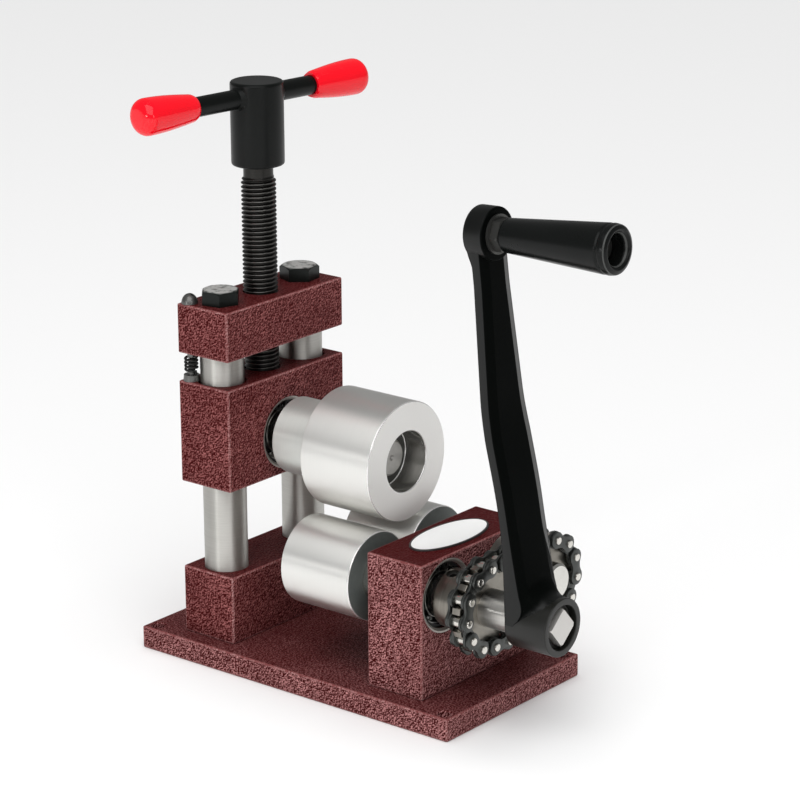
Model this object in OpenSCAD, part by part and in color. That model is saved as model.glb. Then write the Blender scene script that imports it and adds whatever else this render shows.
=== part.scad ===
// Hand cranked three roller bender for bracelets and ring stock.
// +X runs along the roller axes towards the crank, +Y along the top beam, +Z up.
// The origin is the middle of the underside of the base plate. Sizes are in millimetres.

/* [Base plate] */
// Length of the base plate along the roller axes
base_l = 180; // [176:1:220]
// Width of the base plate
base_w = 97; // [92:1:130]
// Thickness of the base plate
base_t = 10.6; // [9:0.2:16]
// Chamfer on the edges of the painted blocks
edge = 0.8; // [0.3:0.1:1.5]
// Diameter of the four bench bolt holes
mount_d = 6.4; // [5:0.1:7]
// Distance of the bench bolt holes from the edges of the base plate
mount_inset = 5.2; // [4.5:0.1:8]
// Thread diameter of the countersunk screws under the base plate
base_screw_d = 8; // [5:0.5:8]
// Length of the countersunk screws under the base plate
base_screw_l = 28; // [24:1:34]

/* [Column frame] */
// Distance of the post block from the rear end of the base plate
post_inset = 19.5; // [12:0.5:24]
// Thickness of the post, carriage and beam along the roller axes
block_w = 30; // [29:0.5:36]
// Metal between the guide columns' bushes and the ends of the post, carriage and beam
block_wall = 1.6; // [1.6:0.1:6]
// Height of the post block on the base plate
post_h = 32.2; // [28:0.2:40]
// Diameter of the two guide columns
column_d = 20; // [16:0.5:21]
// Metal between the bearing pockets and the guide columns' bushes in the carriage
column_web = 1; // [1:0.1:4]
// Free height of the columns between the post block and the beam
column_free = 102.1; // [98:0.1:125]
// Depth of the columns in the post block
column_seat = 24; // [16:1:26]
// Height of the top beam
beam_h = 23; // [18:0.5:30]
// Thread diameter of the hexagon bolts that hold the beam on the columns
bolt_d = 10; // [8:0.5:10]
// Size across the flats of the hexagon bolts
bolt_af = 16; // [13:0.5:17]
// Height of the hexagon bolt heads
bolt_head_h = 6.4; // [5:0.1:8]
// Depth of the hexagon bolts in the columns
bolt_reach = 18; // [12:1:24]

/* [Carriage] */
// Height of the sliding carriage
carriage_h = 48; // [46:0.5:60]
// Gap between the carriage and the beam in the rest position
carriage_drop = 13.1; // [11:0.1:16]
// Height of the upper roller axis above the underside of the carriage
upper_axis_up = 19.1; // [18.5:0.1:20.5]
// Wall of the bronze guide bushes
bush_wall = 1.2; // [1:0.1:1.4]
// Length of each bronze guide bush
bush_l = 20; // [12:1:22]
// Depth of the socket that takes the foot of the lead screw
socket_depth = 11; // [8:0.5:11.5]
// Thickness of the bronze thrust pad in the socket
pad_t = 3; // [2:0.5:4]

/* [Front bearing block] */
// Distance of the bearing block from the front end of the base plate
front_inset = 21.3; // [18:0.1:26]
// Thickness of the bearing block along the roller axes
front_w = 30.5; // [28:0.5:34]
// Height of the bearing block on the base plate
front_h = 62.7; // [61:0.1:75]
// Wall beside the bearing pockets at the ends of the bearing block
front_wall = 2.6; // [2.2:0.1:6]
// Height of the lower roller axes above the base plate
lower_axis_up = 44.4; // [40:0.1:45]
// Length of the blank oval plate on the bearing block
plate_l = 49.6; // [30:0.2:60]
// Width of the blank oval plate
plate_w = 22.8; // [14:0.2:26]
// Thickness of the blank oval plate
plate_t = 0.8; // [0.4:0.1:1.5]

/* [Rollers] */
// Length of the three rollers
roller_l = 39; // [30:0.5:42]
// Gap between the lower rollers and the bearing block
roller_gap = 8.8; // [6:0.1:12]
// Diameter of the upper roller
upper_d = 55; // [46:0.5:56]
// Gap between the two lower rollers
lower_nip = 1.9; // [1:0.1:4]
// Diameter of the neck behind the upper roller
neck_d = 35.5; // [30:0.5:40]
// Gap between the neck of the upper roller and the carriage
neck_gap = 5.7; // [2:0.1:8]
// Diameter of the recess in the free face of each roller
recess_d = 28; // [22:0.5:30]
// Depth of the recess in the free face of each roller
recess_depth = 12; // [8:0.5:14]
// How far the end of the shaft stands in the recess
shaft_stand = 3.5; // [1:0.5:6]
// Width of the square keys in the rollers
key_w = 5; // [4:0.5:6]
// Length of the square keys in the rollers
key_l = 18; // [10:1:22]

/* [Shafts and bearings] */
// Diameter of the three shafts
shaft_d = 17; // [15:0.5:17.5]
// Outside diameter of the ball bearings
bearing_od = 30; // [28.5:0.5:31]
// Width of the ball bearings
bearing_w = 7; // [6:0.5:7.5]
// Diameter of the balls as a share of the space between the shaft and the bearing pocket
ball_share = 0.615; // [0.5:0.005:0.64]
// Height of each bearing ring as a share of the same space
race_share = 0.31; // [0.26:0.01:0.34]
// Number of balls in each bearing
ball_count = 9; // [7:1:10]
// Depth of the circlips below the faces of the blocks
clip_depth = 2.6; // [1.6:0.1:2.8]
// Thickness of the circlips
clip_t = 1.2; // [1:0.1:1.4]
// Chamfer around the mouths of the bearing pockets
mouth = 1.2; // [0.4:0.1:1.6]
// Diameter of the spacer sleeves on the shafts
sleeve_d = 20.6; // [19:0.2:20.8]

/* [Chain drive] */
// Pitch of the roller chain
chain_pitch = 9.525; // [9.4:0.005:9.6]
// Number of teeth on each sprocket
teeth = 12; // [12:2:14]
// Distance between the lower shafts in chain pitches
span_pitches = 4.5; // [4.5:1:5.5]
// Diameter of the chain rollers
link_roller_d = 5.08; // [4.6:0.02:5.4]
// Inside width between the inner chain plates
link_inside = 4.77; // [4.4:0.01:5.2]
// Thickness of the chain plates
link_plate_t = 1.25; // [1:0.05:1.4]
// Height of the chain plates
link_plate_h = 8; // [7:0.1:8.6]
// Diameter of the chain pins
link_pin_d = 3.58; // [3:0.02:3.7]
// Distance of the chain plane ahead of the bearing block
chain_ahead = 21.3; // [20:0.1:26]
// Turn of the chain along its path, in degrees of sprocket turn
chain_phase = 5; // [0:1:25]
// Diameter of the sprocket hubs
sprocket_hub_d = 26.4; // [25:0.2:27]
// Gap between the sprocket hubs and the bearing block
sprocket_gap = 2.3; // [1:0.1:4]
// Thread diameter of the set screws in the sprocket hubs
set_screw_d = 6; // [4:0.5:6]
// Distance of the set screws from the rear ends of the sprocket hubs
set_screw_in = 3.6; // [3.2:0.1:10]
// Direction of the set screws about the shaft
set_screw_turn = 104; // [90:1:140]

/* [Crank] */
// Across flats of the square end of the drive shaft
square_af = 12; // [10:0.1:12]
// Turn of the square end about the shaft
square_turn = 41; // [0:1:89]
// Free length of the drive shaft between the chain and the crank
crank_ahead = 14; // [12:0.5:20]
// Diameter of the crank hub
crank_hub_d = 26; // [24:0.5:30]
// Length of the crank hub
crank_hub_l = 21.5; // [18:0.5:26]
// Diameter of the round recess in the face of the crank hub
crank_recess_d = 20; // [17.5:0.5:21]
// Depth of the round recess in the face of the crank hub
crank_recess_depth = 4; // [2:0.5:8]
// Lean of the crank arm from upright in the rest position
crank_lean = 3; // [-10:1:10]
// Distance between the shaft and the axis of the crank grip
crank_r = 170; // [150:1:200]
// Thickness of the crank arm
arm_t = 6; // [5:0.5:8]
// Width of the crank arm at the bend
arm_bend_w = 26.2; // [24:0.2:32]
// Width of the crank arm below its eye
arm_eye_w = 19; // [16:0.5:21]
// How far the bend sets the eye back towards the base plate
arm_offset = 15.2; // [8:0.2:15.4]
// Slope of the straight upper arm
arm_slope = 4.2; // [0:0.1:6]
// Rake of the eye and the grip
arm_rake = 2.7; // [0:0.1:4]
// Diameter of the eye of the crank arm
eye_d = 23; // [21.5:0.5:28]
// Length of the eye along the grip axis
eye_l = 10; // [8:0.5:12]
// Length of the crank grip
grip_l = 56; // [45:1:80]
// Diameter of the crank grip beside the arm
grip_d_in = 14.6; // [13:0.2:16]
// Diameter of the crank grip near its end
grip_d_out = 21.6; // [18:0.2:24]
// Diameter of the hole in the end of the crank grip
grip_hole_d = 12.6; // [11:0.2:13.4]
// Thread diameter of the grip spindle
spindle_d = 8; // [6:0.5:8]

/* [Lead screw] */
// Outside diameter of the lead screw thread
screw_d = 16; // [14:0.5:16]
// Pitch of the lead screw thread
screw_pitch = 2; // [1.5:0.5:2]
// Length of the lead screw between the beam and the plain neck
screw_above = 54.1; // [40:0.1:70]
// Length of the plain neck below the handle hub
screw_neck = 4.6; // [4:0.1:12]

/* [Tee handle] */
// Diameter of the handle hub
hub_d = 24.2; // [20:0.2:28]
// Height of the handle hub
hub_h = 38.3; // [32:0.1:44]
// Diameter of the cross bar
bar_d = 9; // [8:0.2:10]
// Height of the cross bar axis below the top of the hub
bar_down = 6.9; // [6:0.1:10]
// Turn of the cross bar from the beam direction in the rest position
bar_turn = 7; // [-45:1:45]
// Sideways shift of the cross bar in the hub
bar_shift = -2.5; // [-6:0.5:6]
// Distance of the grips from the middle of the cross bar
red_in = 35; // [25:0.5:45]
// Length of the red grips
red_l = 31.5; // [26:0.5:50]
// Diameter of the red grips at their inner ends
red_d_in = 12.2; // [11.6:0.2:14]
// Greatest diameter of the red grips
red_d_out = 16.8; // [15:0.2:20]

/* [Return springs] */
// Direction in which the return springs stand beside the columns, from straight back towards the ends
spring_turn = 40.6; // [36:0.2:41]
// Outside diameter of the return springs
spring_d = 6.6; // [6:0.1:7]
// Wire diameter of the return springs
wire_d = 1.2; // [0.8:0.1:1.3]
// Number of curls of each return spring
spring_curls = 4; // [3:1:4]
// Thread diameter of the spring screws and studs
spring_screw_d = 3.5; // [2.5:0.1:3.6]
// Height of the collar under each return spring
collar_h = 2.8; // [2:0.1:3]
// Diameter of the round heads of the spring screws
spring_head_d = 7.6; // [6:0.1:8]
// Height of the round heads of the spring screws
spring_head_h = 4.6; // [2.5:0.1:6]

/* [Hidden] */
$fn = 64;

// Clearances: seat in one assembly, running fit, open clearance between moving pieces
seat = 0.02;
run = 0.05;
clear = 0.3;

// Length of the post, carriage and beam, from the bearing between the columns outwards
bush_d = column_d + 2 * bush_wall;
column_gap = bearing_od + 2 * column_web + bush_d;
block_l = column_gap + bush_d + 2 * block_wall;

// Heights of the column frame
post_top = base_t + post_h;
beam_z = post_top + column_free;
beam_top = beam_z + beam_h;
carriage_top = beam_z - carriage_drop;
carriage_z = carriage_top - carriage_h;
column_x = -base_l / 2 + post_inset + block_w / 2;
block_front = column_x + block_w / 2;
block_rear = column_x - block_w / 2;

// Roller axes and the ends of the rollers
upper_z = carriage_z + upper_axis_up;
lower_z = base_t + lower_axis_up;
lower_gap = span_pitches * chain_pitch;
lower_d = lower_gap - lower_nip;
front_x = base_l / 2 - front_inset - front_w;
roller_front = front_x - roller_gap;
roller_back = roller_front - roller_l;
neck_back = block_front + neck_gap;
front_face = front_x + front_w;
front_l = lower_gap + bearing_od + 2 * front_wall;
front_top = base_t + front_h;
bolt_head_ac = bolt_af / cos(30);

// Bearings: depth of a pocket and diameters of the races
pocket = clip_depth + clip_t + bearing_w;
race_mid_d = (shaft_d + bearing_od) / 2;
race_space = (bearing_od - shaft_d) / 2;
ball_d = ball_share * race_space;
inner_race_d = shaft_d + 2 * race_share * race_space;
outer_race_d = bearing_od - 2 * race_share * race_space;
web_bore_d = outer_race_d - 2;
clip_groove = 0.8;
clip_ring = 2.2;

// Places of the bearings along X, as the outer faces of each bearing
carriage_bearing_front = block_front - clip_depth - clip_t;
carriage_bearing_rear = block_rear + clip_depth + clip_t;
front_bearing_front = front_face - clip_depth - clip_t;
front_bearing_rear = front_x + clip_depth + clip_t;

// Sprockets and chain
sprocket_t = link_inside - 0.5;
chain_x = front_face + chain_ahead;
pitch_r = chain_pitch / (2 * sin(180 / teeth));
valley_r = link_roller_d / 2 + clear;
tip_r = chain_pitch * (0.6 + 1 / tan(180 / teeth)) / 2;
tooth_flank = 30;
link_count = teeth + 2 * span_pitches;
link_gap = 0.12;
inner_plate_x = link_inside / 2;
outer_plate_x = inner_plate_x + link_plate_t + link_gap;
pin_half = outer_plate_x + link_plate_t + 1;
sprocket_hub_back = front_face + sprocket_gap;

// Drive shaft and crank along X
crank_back = chain_x + crank_ahead + pin_half;
square_start = crank_back - clear;
crank_front = crank_back + crank_hub_l;
driven_end = chain_x + pin_half + 2;
arm_mid = crank_back + arm_t / 2;
eye_x = arm_mid - arm_offset;
bend_from = 25;
bend_to = 101;
arm_fillet = 12;
flare_sink = 0.3;
arm_foot_up = 18;
arm_bend_up = 82;
arm_eye_down = 22;
spindle_washer_t = 1;
spindle_nut_t = 4;
spindle_nut_af = 13;
spindle_nut_turn = 30;
grip_in = eye_l / 2 + spindle_washer_t + spindle_nut_t + clear;
grip_out = grip_in + grip_l;
grip_hole_depth = 12;
grip_round = 3;
shoulder_d = spindle_d + 1;
spindle_head_d = grip_hole_d - 1.6;
spindle_head_t = 4;

// Lead screw and handle heights
socket_z = carriage_top - socket_depth;
screw_foot = socket_z + pad_t + run;
neck_z = beam_top + screw_above;
hub_z = neck_z + screw_neck;
hub_top = hub_z + hub_h;
bar_z = hub_top - bar_down;
thread_depth = 0.6 * screw_pitch;
screw_core_d = screw_d - 2 * thread_depth;
screw_tenon = 18;
grub_d = 5;
grub_up = 8;
red_hold = 4;

// Return springs in the gap between the carriage and the beam
coil_r = (spring_d - wire_d) / 2;
collar_d = spring_d + 1;
spring_off = column_d / 2 + max(collar_d, spring_head_d) / 2 + run;
spring_top = beam_z - run;
spring_foot = carriage_top + collar_h + run;
spring_leg = 1.5 * wire_d;
coil_h = spring_top - spring_foot - 2 * spring_leg;
spring_screw_tip = 2.4;
stud_stand = 2.2;
stud_depth = 8;

// Countersunk screws under the base plate
csk_head_d = 2 * base_screw_d;
csk_socket = 3;

// Finishes
maroon = [0.32, 0.06, 0.07];
steel = [0.74, 0.74, 0.72];
dark_steel = [0.32, 0.33, 0.33];
black = [0.06, 0.065, 0.06];
bronze = [0.66, 0.47, 0.25];
red = [0.86, 0.04, 0.08];
white = [0.93, 0.93, 0.92];

// Shared shapes

// Rectangle with its corners cut at 45 degrees
module bevel_rect(a, b, c) {
    polygon([
        [-a / 2 + c, -b / 2], [a / 2 - c, -b / 2], [a / 2, -b / 2 + c], [a / 2, b / 2 - c],
        [a / 2 - c, b / 2], [-a / 2 + c, b / 2], [-a / 2, b / 2 - c], [-a / 2, -b / 2 + c]
    ]);
}

// Block that stands on z = 0 with all its edges chamfered
module bevel_block(l, w, h, c) {
    intersection() {
        linear_extrude(h) bevel_rect(l, w, c);
        translate([0, 0, h / 2]) rotate([90, 0, 0]) linear_extrude(w, center = true) bevel_rect(l, h, c);
        translate([0, 0, h / 2]) rotate([90, 0, 90]) linear_extrude(l, center = true) bevel_rect(w, h, c);
    }
}

// Plate of an outline drawn in Y and Z, from x0 to x1
module along_x(x0, x1) {
    translate([x0, 0, 0]) rotate([90, 0, 90]) linear_extrude(x1 - x0) children();
}

// Plain cylinder along X
module x_cyl(d, x0, x1) {
    translate([x0, 0, 0]) rotate([0, 90, 0]) cylinder(d = d, h = x1 - x0);
}

// Cylinder along X with both rims chamfered
module x_bar(d, x0, x1, c) {
    rotate([0, 90, 0]) rotate_extrude() polygon([
        [0, x0], [d / 2 - c, x0], [d / 2, x0 + c], [d / 2, x1 - c], [d / 2 - c, x1], [0, x1]
    ]);
}

// Tube along X
module x_tube(od, id, x0, x1) {
    difference() {
        x_cyl(od, x0, x1);
        x_cyl(id, x0 - 1, x1 + 1);
    }
}

// Hexagon prism on z = 0
module hex_prism(af, h) {
    cylinder(d = af / cos(30), h = h, $fn = 6);
}

module at_column(side) {
    translate([column_x, side * column_gap / 2, 0]) children();
}

module at_screw() {
    translate([column_x, 0, 0]) children();
}

module at_upper() {
    translate([0, 0, upper_z]) children();
}

// Lower shafts: side -1 is the cranked shaft, side 1 the driven one
module at_lower(side) {
    translate([0, side * lower_gap / 2, lower_z]) children();
}

// Pocket for one bearing, its circlip and its chamfered mouth, opening towards +X at x = 0
module bearing_pocket() {
    x_cyl(bearing_od + 2 * seat, -pocket, 1);
    x_cyl(bearing_od + 2 * clip_groove, -clip_depth - clip_t - seat, -clip_depth + seat);
    translate([-mouth, 0, 0]) rotate([0, 90, 0])
        cylinder(d1 = bearing_od, d2 = bearing_od + 4 * mouth, h = 2 * mouth);
}

// Bearing pockets from both faces of a block, joined by the web bore
module bearing_line(x_rear, x_front) {
    translate([x_front, 0, 0]) bearing_pocket();
    translate([x_rear, 0, 0]) mirror([1, 0, 0]) bearing_pocket();
    x_cyl(web_bore_d, x_rear, x_front);
}

// Raceway groove of the balls, for rings that run from x = 0 to x = bearing_w
module ball_groove() {
    translate([bearing_w / 2, 0, 0]) rotate([0, 90, 0]) rotate_extrude()
        translate([race_mid_d / 2, 0]) circle(d = ball_d + 2 * run);
}

module outer_race(x0) {
    translate([x0, 0, 0]) difference() {
        x_tube(bearing_od, outer_race_d, 0, bearing_w);
        ball_groove();
    }
}

module inner_race(x0) {
    translate([x0, 0, 0]) difference() {
        x_tube(inner_race_d, shaft_d + 2 * seat, 0, bearing_w);
        ball_groove();
    }
}

module ball_ring(x0) {
    for (i = [0 : ball_count - 1])
        translate([x0 + bearing_w / 2, 0, 0]) rotate([i * 360 / ball_count, 0, 0])
            translate([0, 0, race_mid_d / 2]) sphere(d = ball_d);
}

// Inside circlip with two drilled ears, from x0 towards +X
module inside_circlip(x0) {
    ring_r = bearing_od / 2 + clip_groove - run;
    ear_r = ring_r - clip_ring;
    along_x(x0, x0 + clip_t) difference() {
        union() {
            difference() {
                circle(r = ring_r);
                circle(r = ear_r);
                polygon([[0, 0], [-2.4, ring_r + 2], [2.4, ring_r + 2]]);
            }
            for (s = [-1, 1]) rotate(s * 14) translate([0, ear_r - 0.6]) circle(r = 1.9, $fn = 32);
        }
        for (s = [-1, 1]) rotate(s * 14) translate([0, ear_r - 0.6]) circle(r = 0.8, $fn = 24);
    }
}

// Keyway through a bore, or in a shaft, above its axis
module keyway(x0, x1, gap) {
    translate([x0, -key_w / 2 - gap, shaft_d / 2 - key_w * 0.6 - gap])
        cube([x1 - x0, key_w + 2 * gap, key_w + 2 * gap]);
}

module roller_key(x_mid) {
    color(steel) keyway(x_mid - key_l / 2, x_mid + key_l / 2, 0);
}

// Shaft with chamfered ends and a keyway around x_key
module keyed_shaft(x0, x1, x_key) {
    difference() {
        x_bar(shaft_d, x0, x1, 1);
        keyway(x_key - key_l / 2 - seat, x_key + key_l / 2 + seat, seat);
    }
}

// Sprocket outline with its tooth gaps at phase and every pitch after it
module sprocket_outline(phase) {
    reach = tip_r + 1 - pitch_r;
    flare = valley_r + reach * tan(tooth_flank);
    difference() {
        circle(r = tip_r);
        for (i = [0 : teeth - 1]) rotate(phase + i * 360 / teeth) translate([pitch_r, 0]) {
            circle(r = valley_r);
            polygon([[0, -valley_r], [reach, -flare], [reach, flare], [0, valley_r]]);
        }
    }
}

module sprocket(phase) {
    color(dark_steel) difference() {
        union() {
            along_x(chain_x - sprocket_t / 2, chain_x + sprocket_t / 2) sprocket_outline(phase);
            x_bar(sprocket_hub_d, sprocket_hub_back, chain_x, 0.6);
        }
        x_cyl(shaft_d + 2 * seat, sprocket_hub_back - 1, chain_x + sprocket_t);
        set_screw_place() cylinder(d = set_screw_d + 2 * seat, h = sprocket_hub_d);
    }
}

// Radial place of the set screw near the rear end of the hub, with its axis along +Z
module set_screw_place() {
    translate([sprocket_hub_back + set_screw_in, 0, 0])
        rotate([set_screw_turn - 90, 0, 0]) children();
}

// Headless set screw with a hexagon socket
module set_screw() {
    foot = shaft_d / 2 + seat;
    top = sprocket_hub_d / 2 - 1.6;
    color(black) set_screw_place() difference() {
        translate([0, 0, foot]) cylinder(d = set_screw_d, h = top - foot);
        translate([0, 0, top - 1.6]) hex_prism(set_screw_d / 2, 3);
    }
}

// Sleeves on a lower shaft: roller to rear bearing, and front bearing to sprocket
module lower_sleeves() {
    color(steel) {
        x_tube(sleeve_d, shaft_d + 2 * seat, roller_front, front_bearing_rear);
        x_tube(sleeve_d, shaft_d + 2 * seat, front_bearing_front, sprocket_hub_back);
    }
}

module lower_inner_races() {
    color(steel) {
        inner_race(front_bearing_rear);
        inner_race(front_bearing_front - bearing_w);
    }
}

// Lower roller with its recess in the free rear face
module lower_roller() {
    color(steel) difference() {
        x_bar(lower_d, roller_back, roller_front, 0.6);
        x_cyl(recess_d, roller_back - 1, roller_back + recess_depth);
        x_cyl(shaft_d + 2 * seat, roller_back, roller_front + 1);
        keyway(roller_back, roller_front + 1, seat);
    }
}

lower_key_x = (roller_back + recess_depth + roller_front) / 2;
lower_shaft_back = roller_back + recess_depth - shaft_stand;

// Frame

module base_plate() {
    color(maroon) difference() {
        bevel_block(base_l, base_w, base_t, edge);
        for (x = [-1, 1], y = [-1, 1])
            translate([x * (base_l / 2 - mount_inset), y * (base_w / 2 - mount_inset), -1])
                cylinder(d = mount_d, h = base_t + 2);
        base_screw_places() {
            translate([0, 0, -1]) cylinder(d = base_screw_d + 2 * run, h = base_t + 2);
            countersink(csk_head_d + 2 * run);
        }
    }
}

// Cone of a countersunk head that is flush with z = 0
module countersink(d) {
    cylinder(d1 = d, d2 = 0, h = d / 2);
}

module base_screw_places() {
    for (side = [-1, 1]) {
        at_column(side) children();
        translate([front_x + front_w / 2, side * lower_gap * 0.6, 0]) children();
    }
}

module base_screws() {
    color(dark_steel) base_screw_places() difference() {
        union() {
            cylinder(d = base_screw_d, h = base_screw_l);
            countersink(csk_head_d);
        }
        translate([0, 0, -1]) hex_prism(base_screw_d * 0.6, csk_socket + 1);
    }
}

// Blind thread hole for the screws under the base plate
module base_screw_hole(z0) {
    translate([0, 0, z0 - 1]) cylinder(d = base_screw_d + 2 * seat, h = base_screw_l + 3 - z0);
}

module post_block() {
    color(maroon) difference() {
        translate([column_x, 0, base_t]) bevel_block(block_w, block_l, post_h, edge);
        for (side = [-1, 1]) at_column(side) {
            translate([0, 0, post_top - column_seat]) cylinder(d = column_d + 2 * seat, h = column_seat + 1);
            base_screw_hole(base_t);
        }
    }
}

// Column with threaded ends for the base screw and the beam bolt
module column(side) {
    foot = post_top - column_seat;
    color(steel) at_column(side) difference() {
        translate([0, 0, foot]) cylinder(d = column_d, h = beam_z - foot);
        base_screw_hole(foot);
        translate([0, 0, beam_z - bolt_reach - 2]) cylinder(d = bolt_d + 2 * seat, h = bolt_reach + 3);
    }
}

module near_column() {
    column(-1);
}

module far_column() {
    column(1);
}

module top_beam() {
    color(maroon) difference() {
        translate([column_x, 0, beam_z]) bevel_block(block_w, block_l, beam_h, edge);
        for (side = [-1, 1]) {
            at_column(side) translate([0, 0, beam_z - 1]) cylinder(d = bolt_d + 2 * run, h = beam_h + 2);
            at_spring(side) translate([0, 0, beam_z - 1])
                cylinder(d = spring_screw_d + 2 * seat, h = beam_h + 2);
        }
        at_screw() translate([0, 0, beam_z - 1]) cylinder(d = screw_d + 2 * run, h = beam_h + 2);
    }
}

// Hexagon bolts with rounded heads, down through the beam into the columns
module column_bolts() {
    color(black) for (side = [-1, 1]) at_column(side) translate([0, 0, beam_top]) {
        intersection() {
            rotate(side < 0 ? 9 : 39) hex_prism(bolt_af, bolt_head_h);
            cylinder(d1 = bolt_head_ac + 4 * bolt_head_h, d2 = bolt_af * 0.94, h = bolt_head_h);
        }
        translate([0, 0, -beam_h - bolt_reach]) cylinder(d = bolt_d, h = beam_h + bolt_reach);
    }
}

module front_block() {
    color(maroon) difference() {
        translate([front_x + front_w / 2, 0, base_t]) bevel_block(front_w, front_l, front_h, edge);
        for (side = [-1, 1]) at_lower(side) bearing_line(front_x, front_face);
        base_screw_places() base_screw_hole(base_t);
    }
}

module name_plate() {
    steps = 72;
    color(white) translate([front_x + front_w / 2, 0, front_top]) linear_extrude(plate_t)
        polygon([for (i = [0 : steps - 1])
            [plate_w / 2 * cos(i * 360 / steps), plate_l / 2 * sin(i * 360 / steps)]]);
}

module block_outer_races() {
    color(steel) for (side = [-1, 1]) at_lower(side) {
        outer_race(front_bearing_rear);
        outer_race(front_bearing_front - bearing_w);
    }
}

module block_balls() {
    color(steel) for (side = [-1, 1]) at_lower(side) {
        ball_ring(front_bearing_rear);
        ball_ring(front_bearing_front - bearing_w);
    }
}

module block_circlips() {
    color(dark_steel) for (side = [-1, 1]) at_lower(side) {
        inside_circlip(front_x + clip_depth);
        inside_circlip(front_bearing_front);
    }
}

// Return springs

module at_spring(side) {
    at_column(side) translate([-spring_off * cos(spring_turn), side * spring_off * sin(spring_turn), 0])
        children();
}

// Round-headed screws down through the beam, whose tips centre the springs
module spring_screws() {
    dome = [for (i = [0 : 6]) let (a = i * 90 / 6) [spring_head_d / 2 * cos(a), spring_head_h * sin(a)]];
    color(black) for (side = [-1, 1]) at_spring(side) {
        translate([0, 0, beam_top]) rotate_extrude() polygon(concat([[0, 0]], dome));
        translate([0, 0, beam_z - spring_screw_tip])
            cylinder(d = spring_screw_d, h = beam_h + spring_screw_tip);
    }
}

// Centre line of one spring about its own axis: a straight leg at each end and the curls between them
function coil_points() = [for (i = [0 : spring_curls * 8]) let (t = i / 8)
    [coil_r * cos(360 * t), coil_r * sin(360 * t), spring_top - spring_leg - coil_h * t / spring_curls]];

function spring_line() = concat(
    [[coil_r, 0, spring_top], [coil_r, 0, spring_top - wire_d]], coil_points(),
    [[coil_r, 0, spring_foot + wire_d], [coil_r, 0, spring_foot]]);

function unit(v) = v / norm(v);

// Direction of a path at point i
function heading(p, i) = unit(p[min(i + 1, len(p) - 1)] - p[max(i - 1, 0)]);

// Side vector at point i, carried along the path so that the tube does not twist
function carry(p, i, side) = let (h = heading(p, i)) unit(side - (side * h) * h);

function sides(p, i = 0, side = [0, 1, 0.01]) =
    i == len(p) ? [] : let (s = carry(p, i, side)) concat([s], sides(p, i + 1, s));

// Round tube along a list of points, with flat ends
module tube_along(p, d, n) {
    u = sides(p);
    points = [for (i = [0 : len(p) - 1]) let (h = heading(p, i), v = cross(h, u[i]))
        for (k = [0 : n - 1]) p[i] + d / 2 * (cos(360 * k / n) * u[i] + sin(360 * k / n) * v)];
    last = (len(p) - 1) * n;
    walls = [for (i = [0 : len(p) - 2], k = [0 : n - 1]) let (a = i * n + k, b = i * n + (k + 1) % n)
        each [[a, a + n, b], [b, a + n, b + n]]];
    caps = [for (k = [1 : n - 2]) each [[0, k, k + 1], [last, last + k + 1, last + k]]];
    polyhedron(points, concat(walls, caps));
}

// Least gap between stretches of a tube that lie more than skip points apart
function self_gap(p, d, skip) = min([for (i = [0 : len(p) - 1 - skip])
    min([for (k = [i + skip : len(p) - 1]) norm(p[i] - p[k])])]) - d;

module return_springs() {
    echo(spring_least_gap = self_gap(spring_line(), wire_d, 6));
    color(dark_steel) for (side = [-1, 1]) at_spring(side) tube_along(spring_line(), wire_d, 6);
}

// Roller chain

// Place of a chain pin, s pitches along the path from the top of the cranked sprocket, in Y and Z
function pin_place(s) =
    let (wrap = teeth / 2, step = 360 / teeth, r = pitch_r, half = lower_gap / 2)
    s < span_pitches ? [-half + s * chain_pitch, r]
    : s < span_pitches + wrap ? let (a = 90 - (s - span_pitches) * step) [half + r * cos(a), r * sin(a)]
    : s < 2 * span_pitches + wrap ? [half - (s - span_pitches - wrap) * chain_pitch, -r]
    : let (a = 270 - (s - 2 * span_pitches - wrap) * step) [-half + r * cos(a), r * sin(a)];

// The offset link lies on the lower run, so pin 0 is the one after it
chain_start = floor(1.5 * span_pitches + teeth / 2) + 1 - chain_phase * teeth / 360;

function pin_at(i) = let (s = chain_start + i) pin_place(s - link_count * floor(s / link_count));

// Draws its children, which lie from the origin to one pitch along Y, at link i
module at_link(i) {
    a = pin_at(i);
    d = pin_at(i + 1) - a;
    translate([chain_x, a[0], lower_z + a[1]]) rotate([atan2(d[1], d[0]), 0, 0]) children();
}

// Plate of a chain link, drawn from pin to pin
module link_outline(h) {
    waist = 0.74;
    difference() {
        union() {
            for (y = [0, chain_pitch]) translate([y, 0]) circle(d = h, $fn = 32);
            translate([0, -h * waist / 2]) square([chain_pitch, h * waist]);
        }
        for (y = [0, chain_pitch]) translate([y, 0]) circle(d = link_pin_d + 2 * seat, $fn = 32);
    }
}

// Pair of plates whose inner faces are x from the chain plane
module link_plates(x, h) {
    for (s = [0, 1]) mirror([s, 0, 0]) along_x(x, x + link_plate_t) link_outline(h);
}

module chain_inner_plates() {
    color(dark_steel) for (i = [0 : 2 : link_count - 2]) at_link(i) link_plates(inner_plate_x, link_plate_h);
}

module chain_outer_plates() {
    color(dark_steel) for (i = [1 : 2 : link_count - 2]) at_link(i)
        link_plates(outer_plate_x, link_plate_h - 0.4);
}

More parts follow.
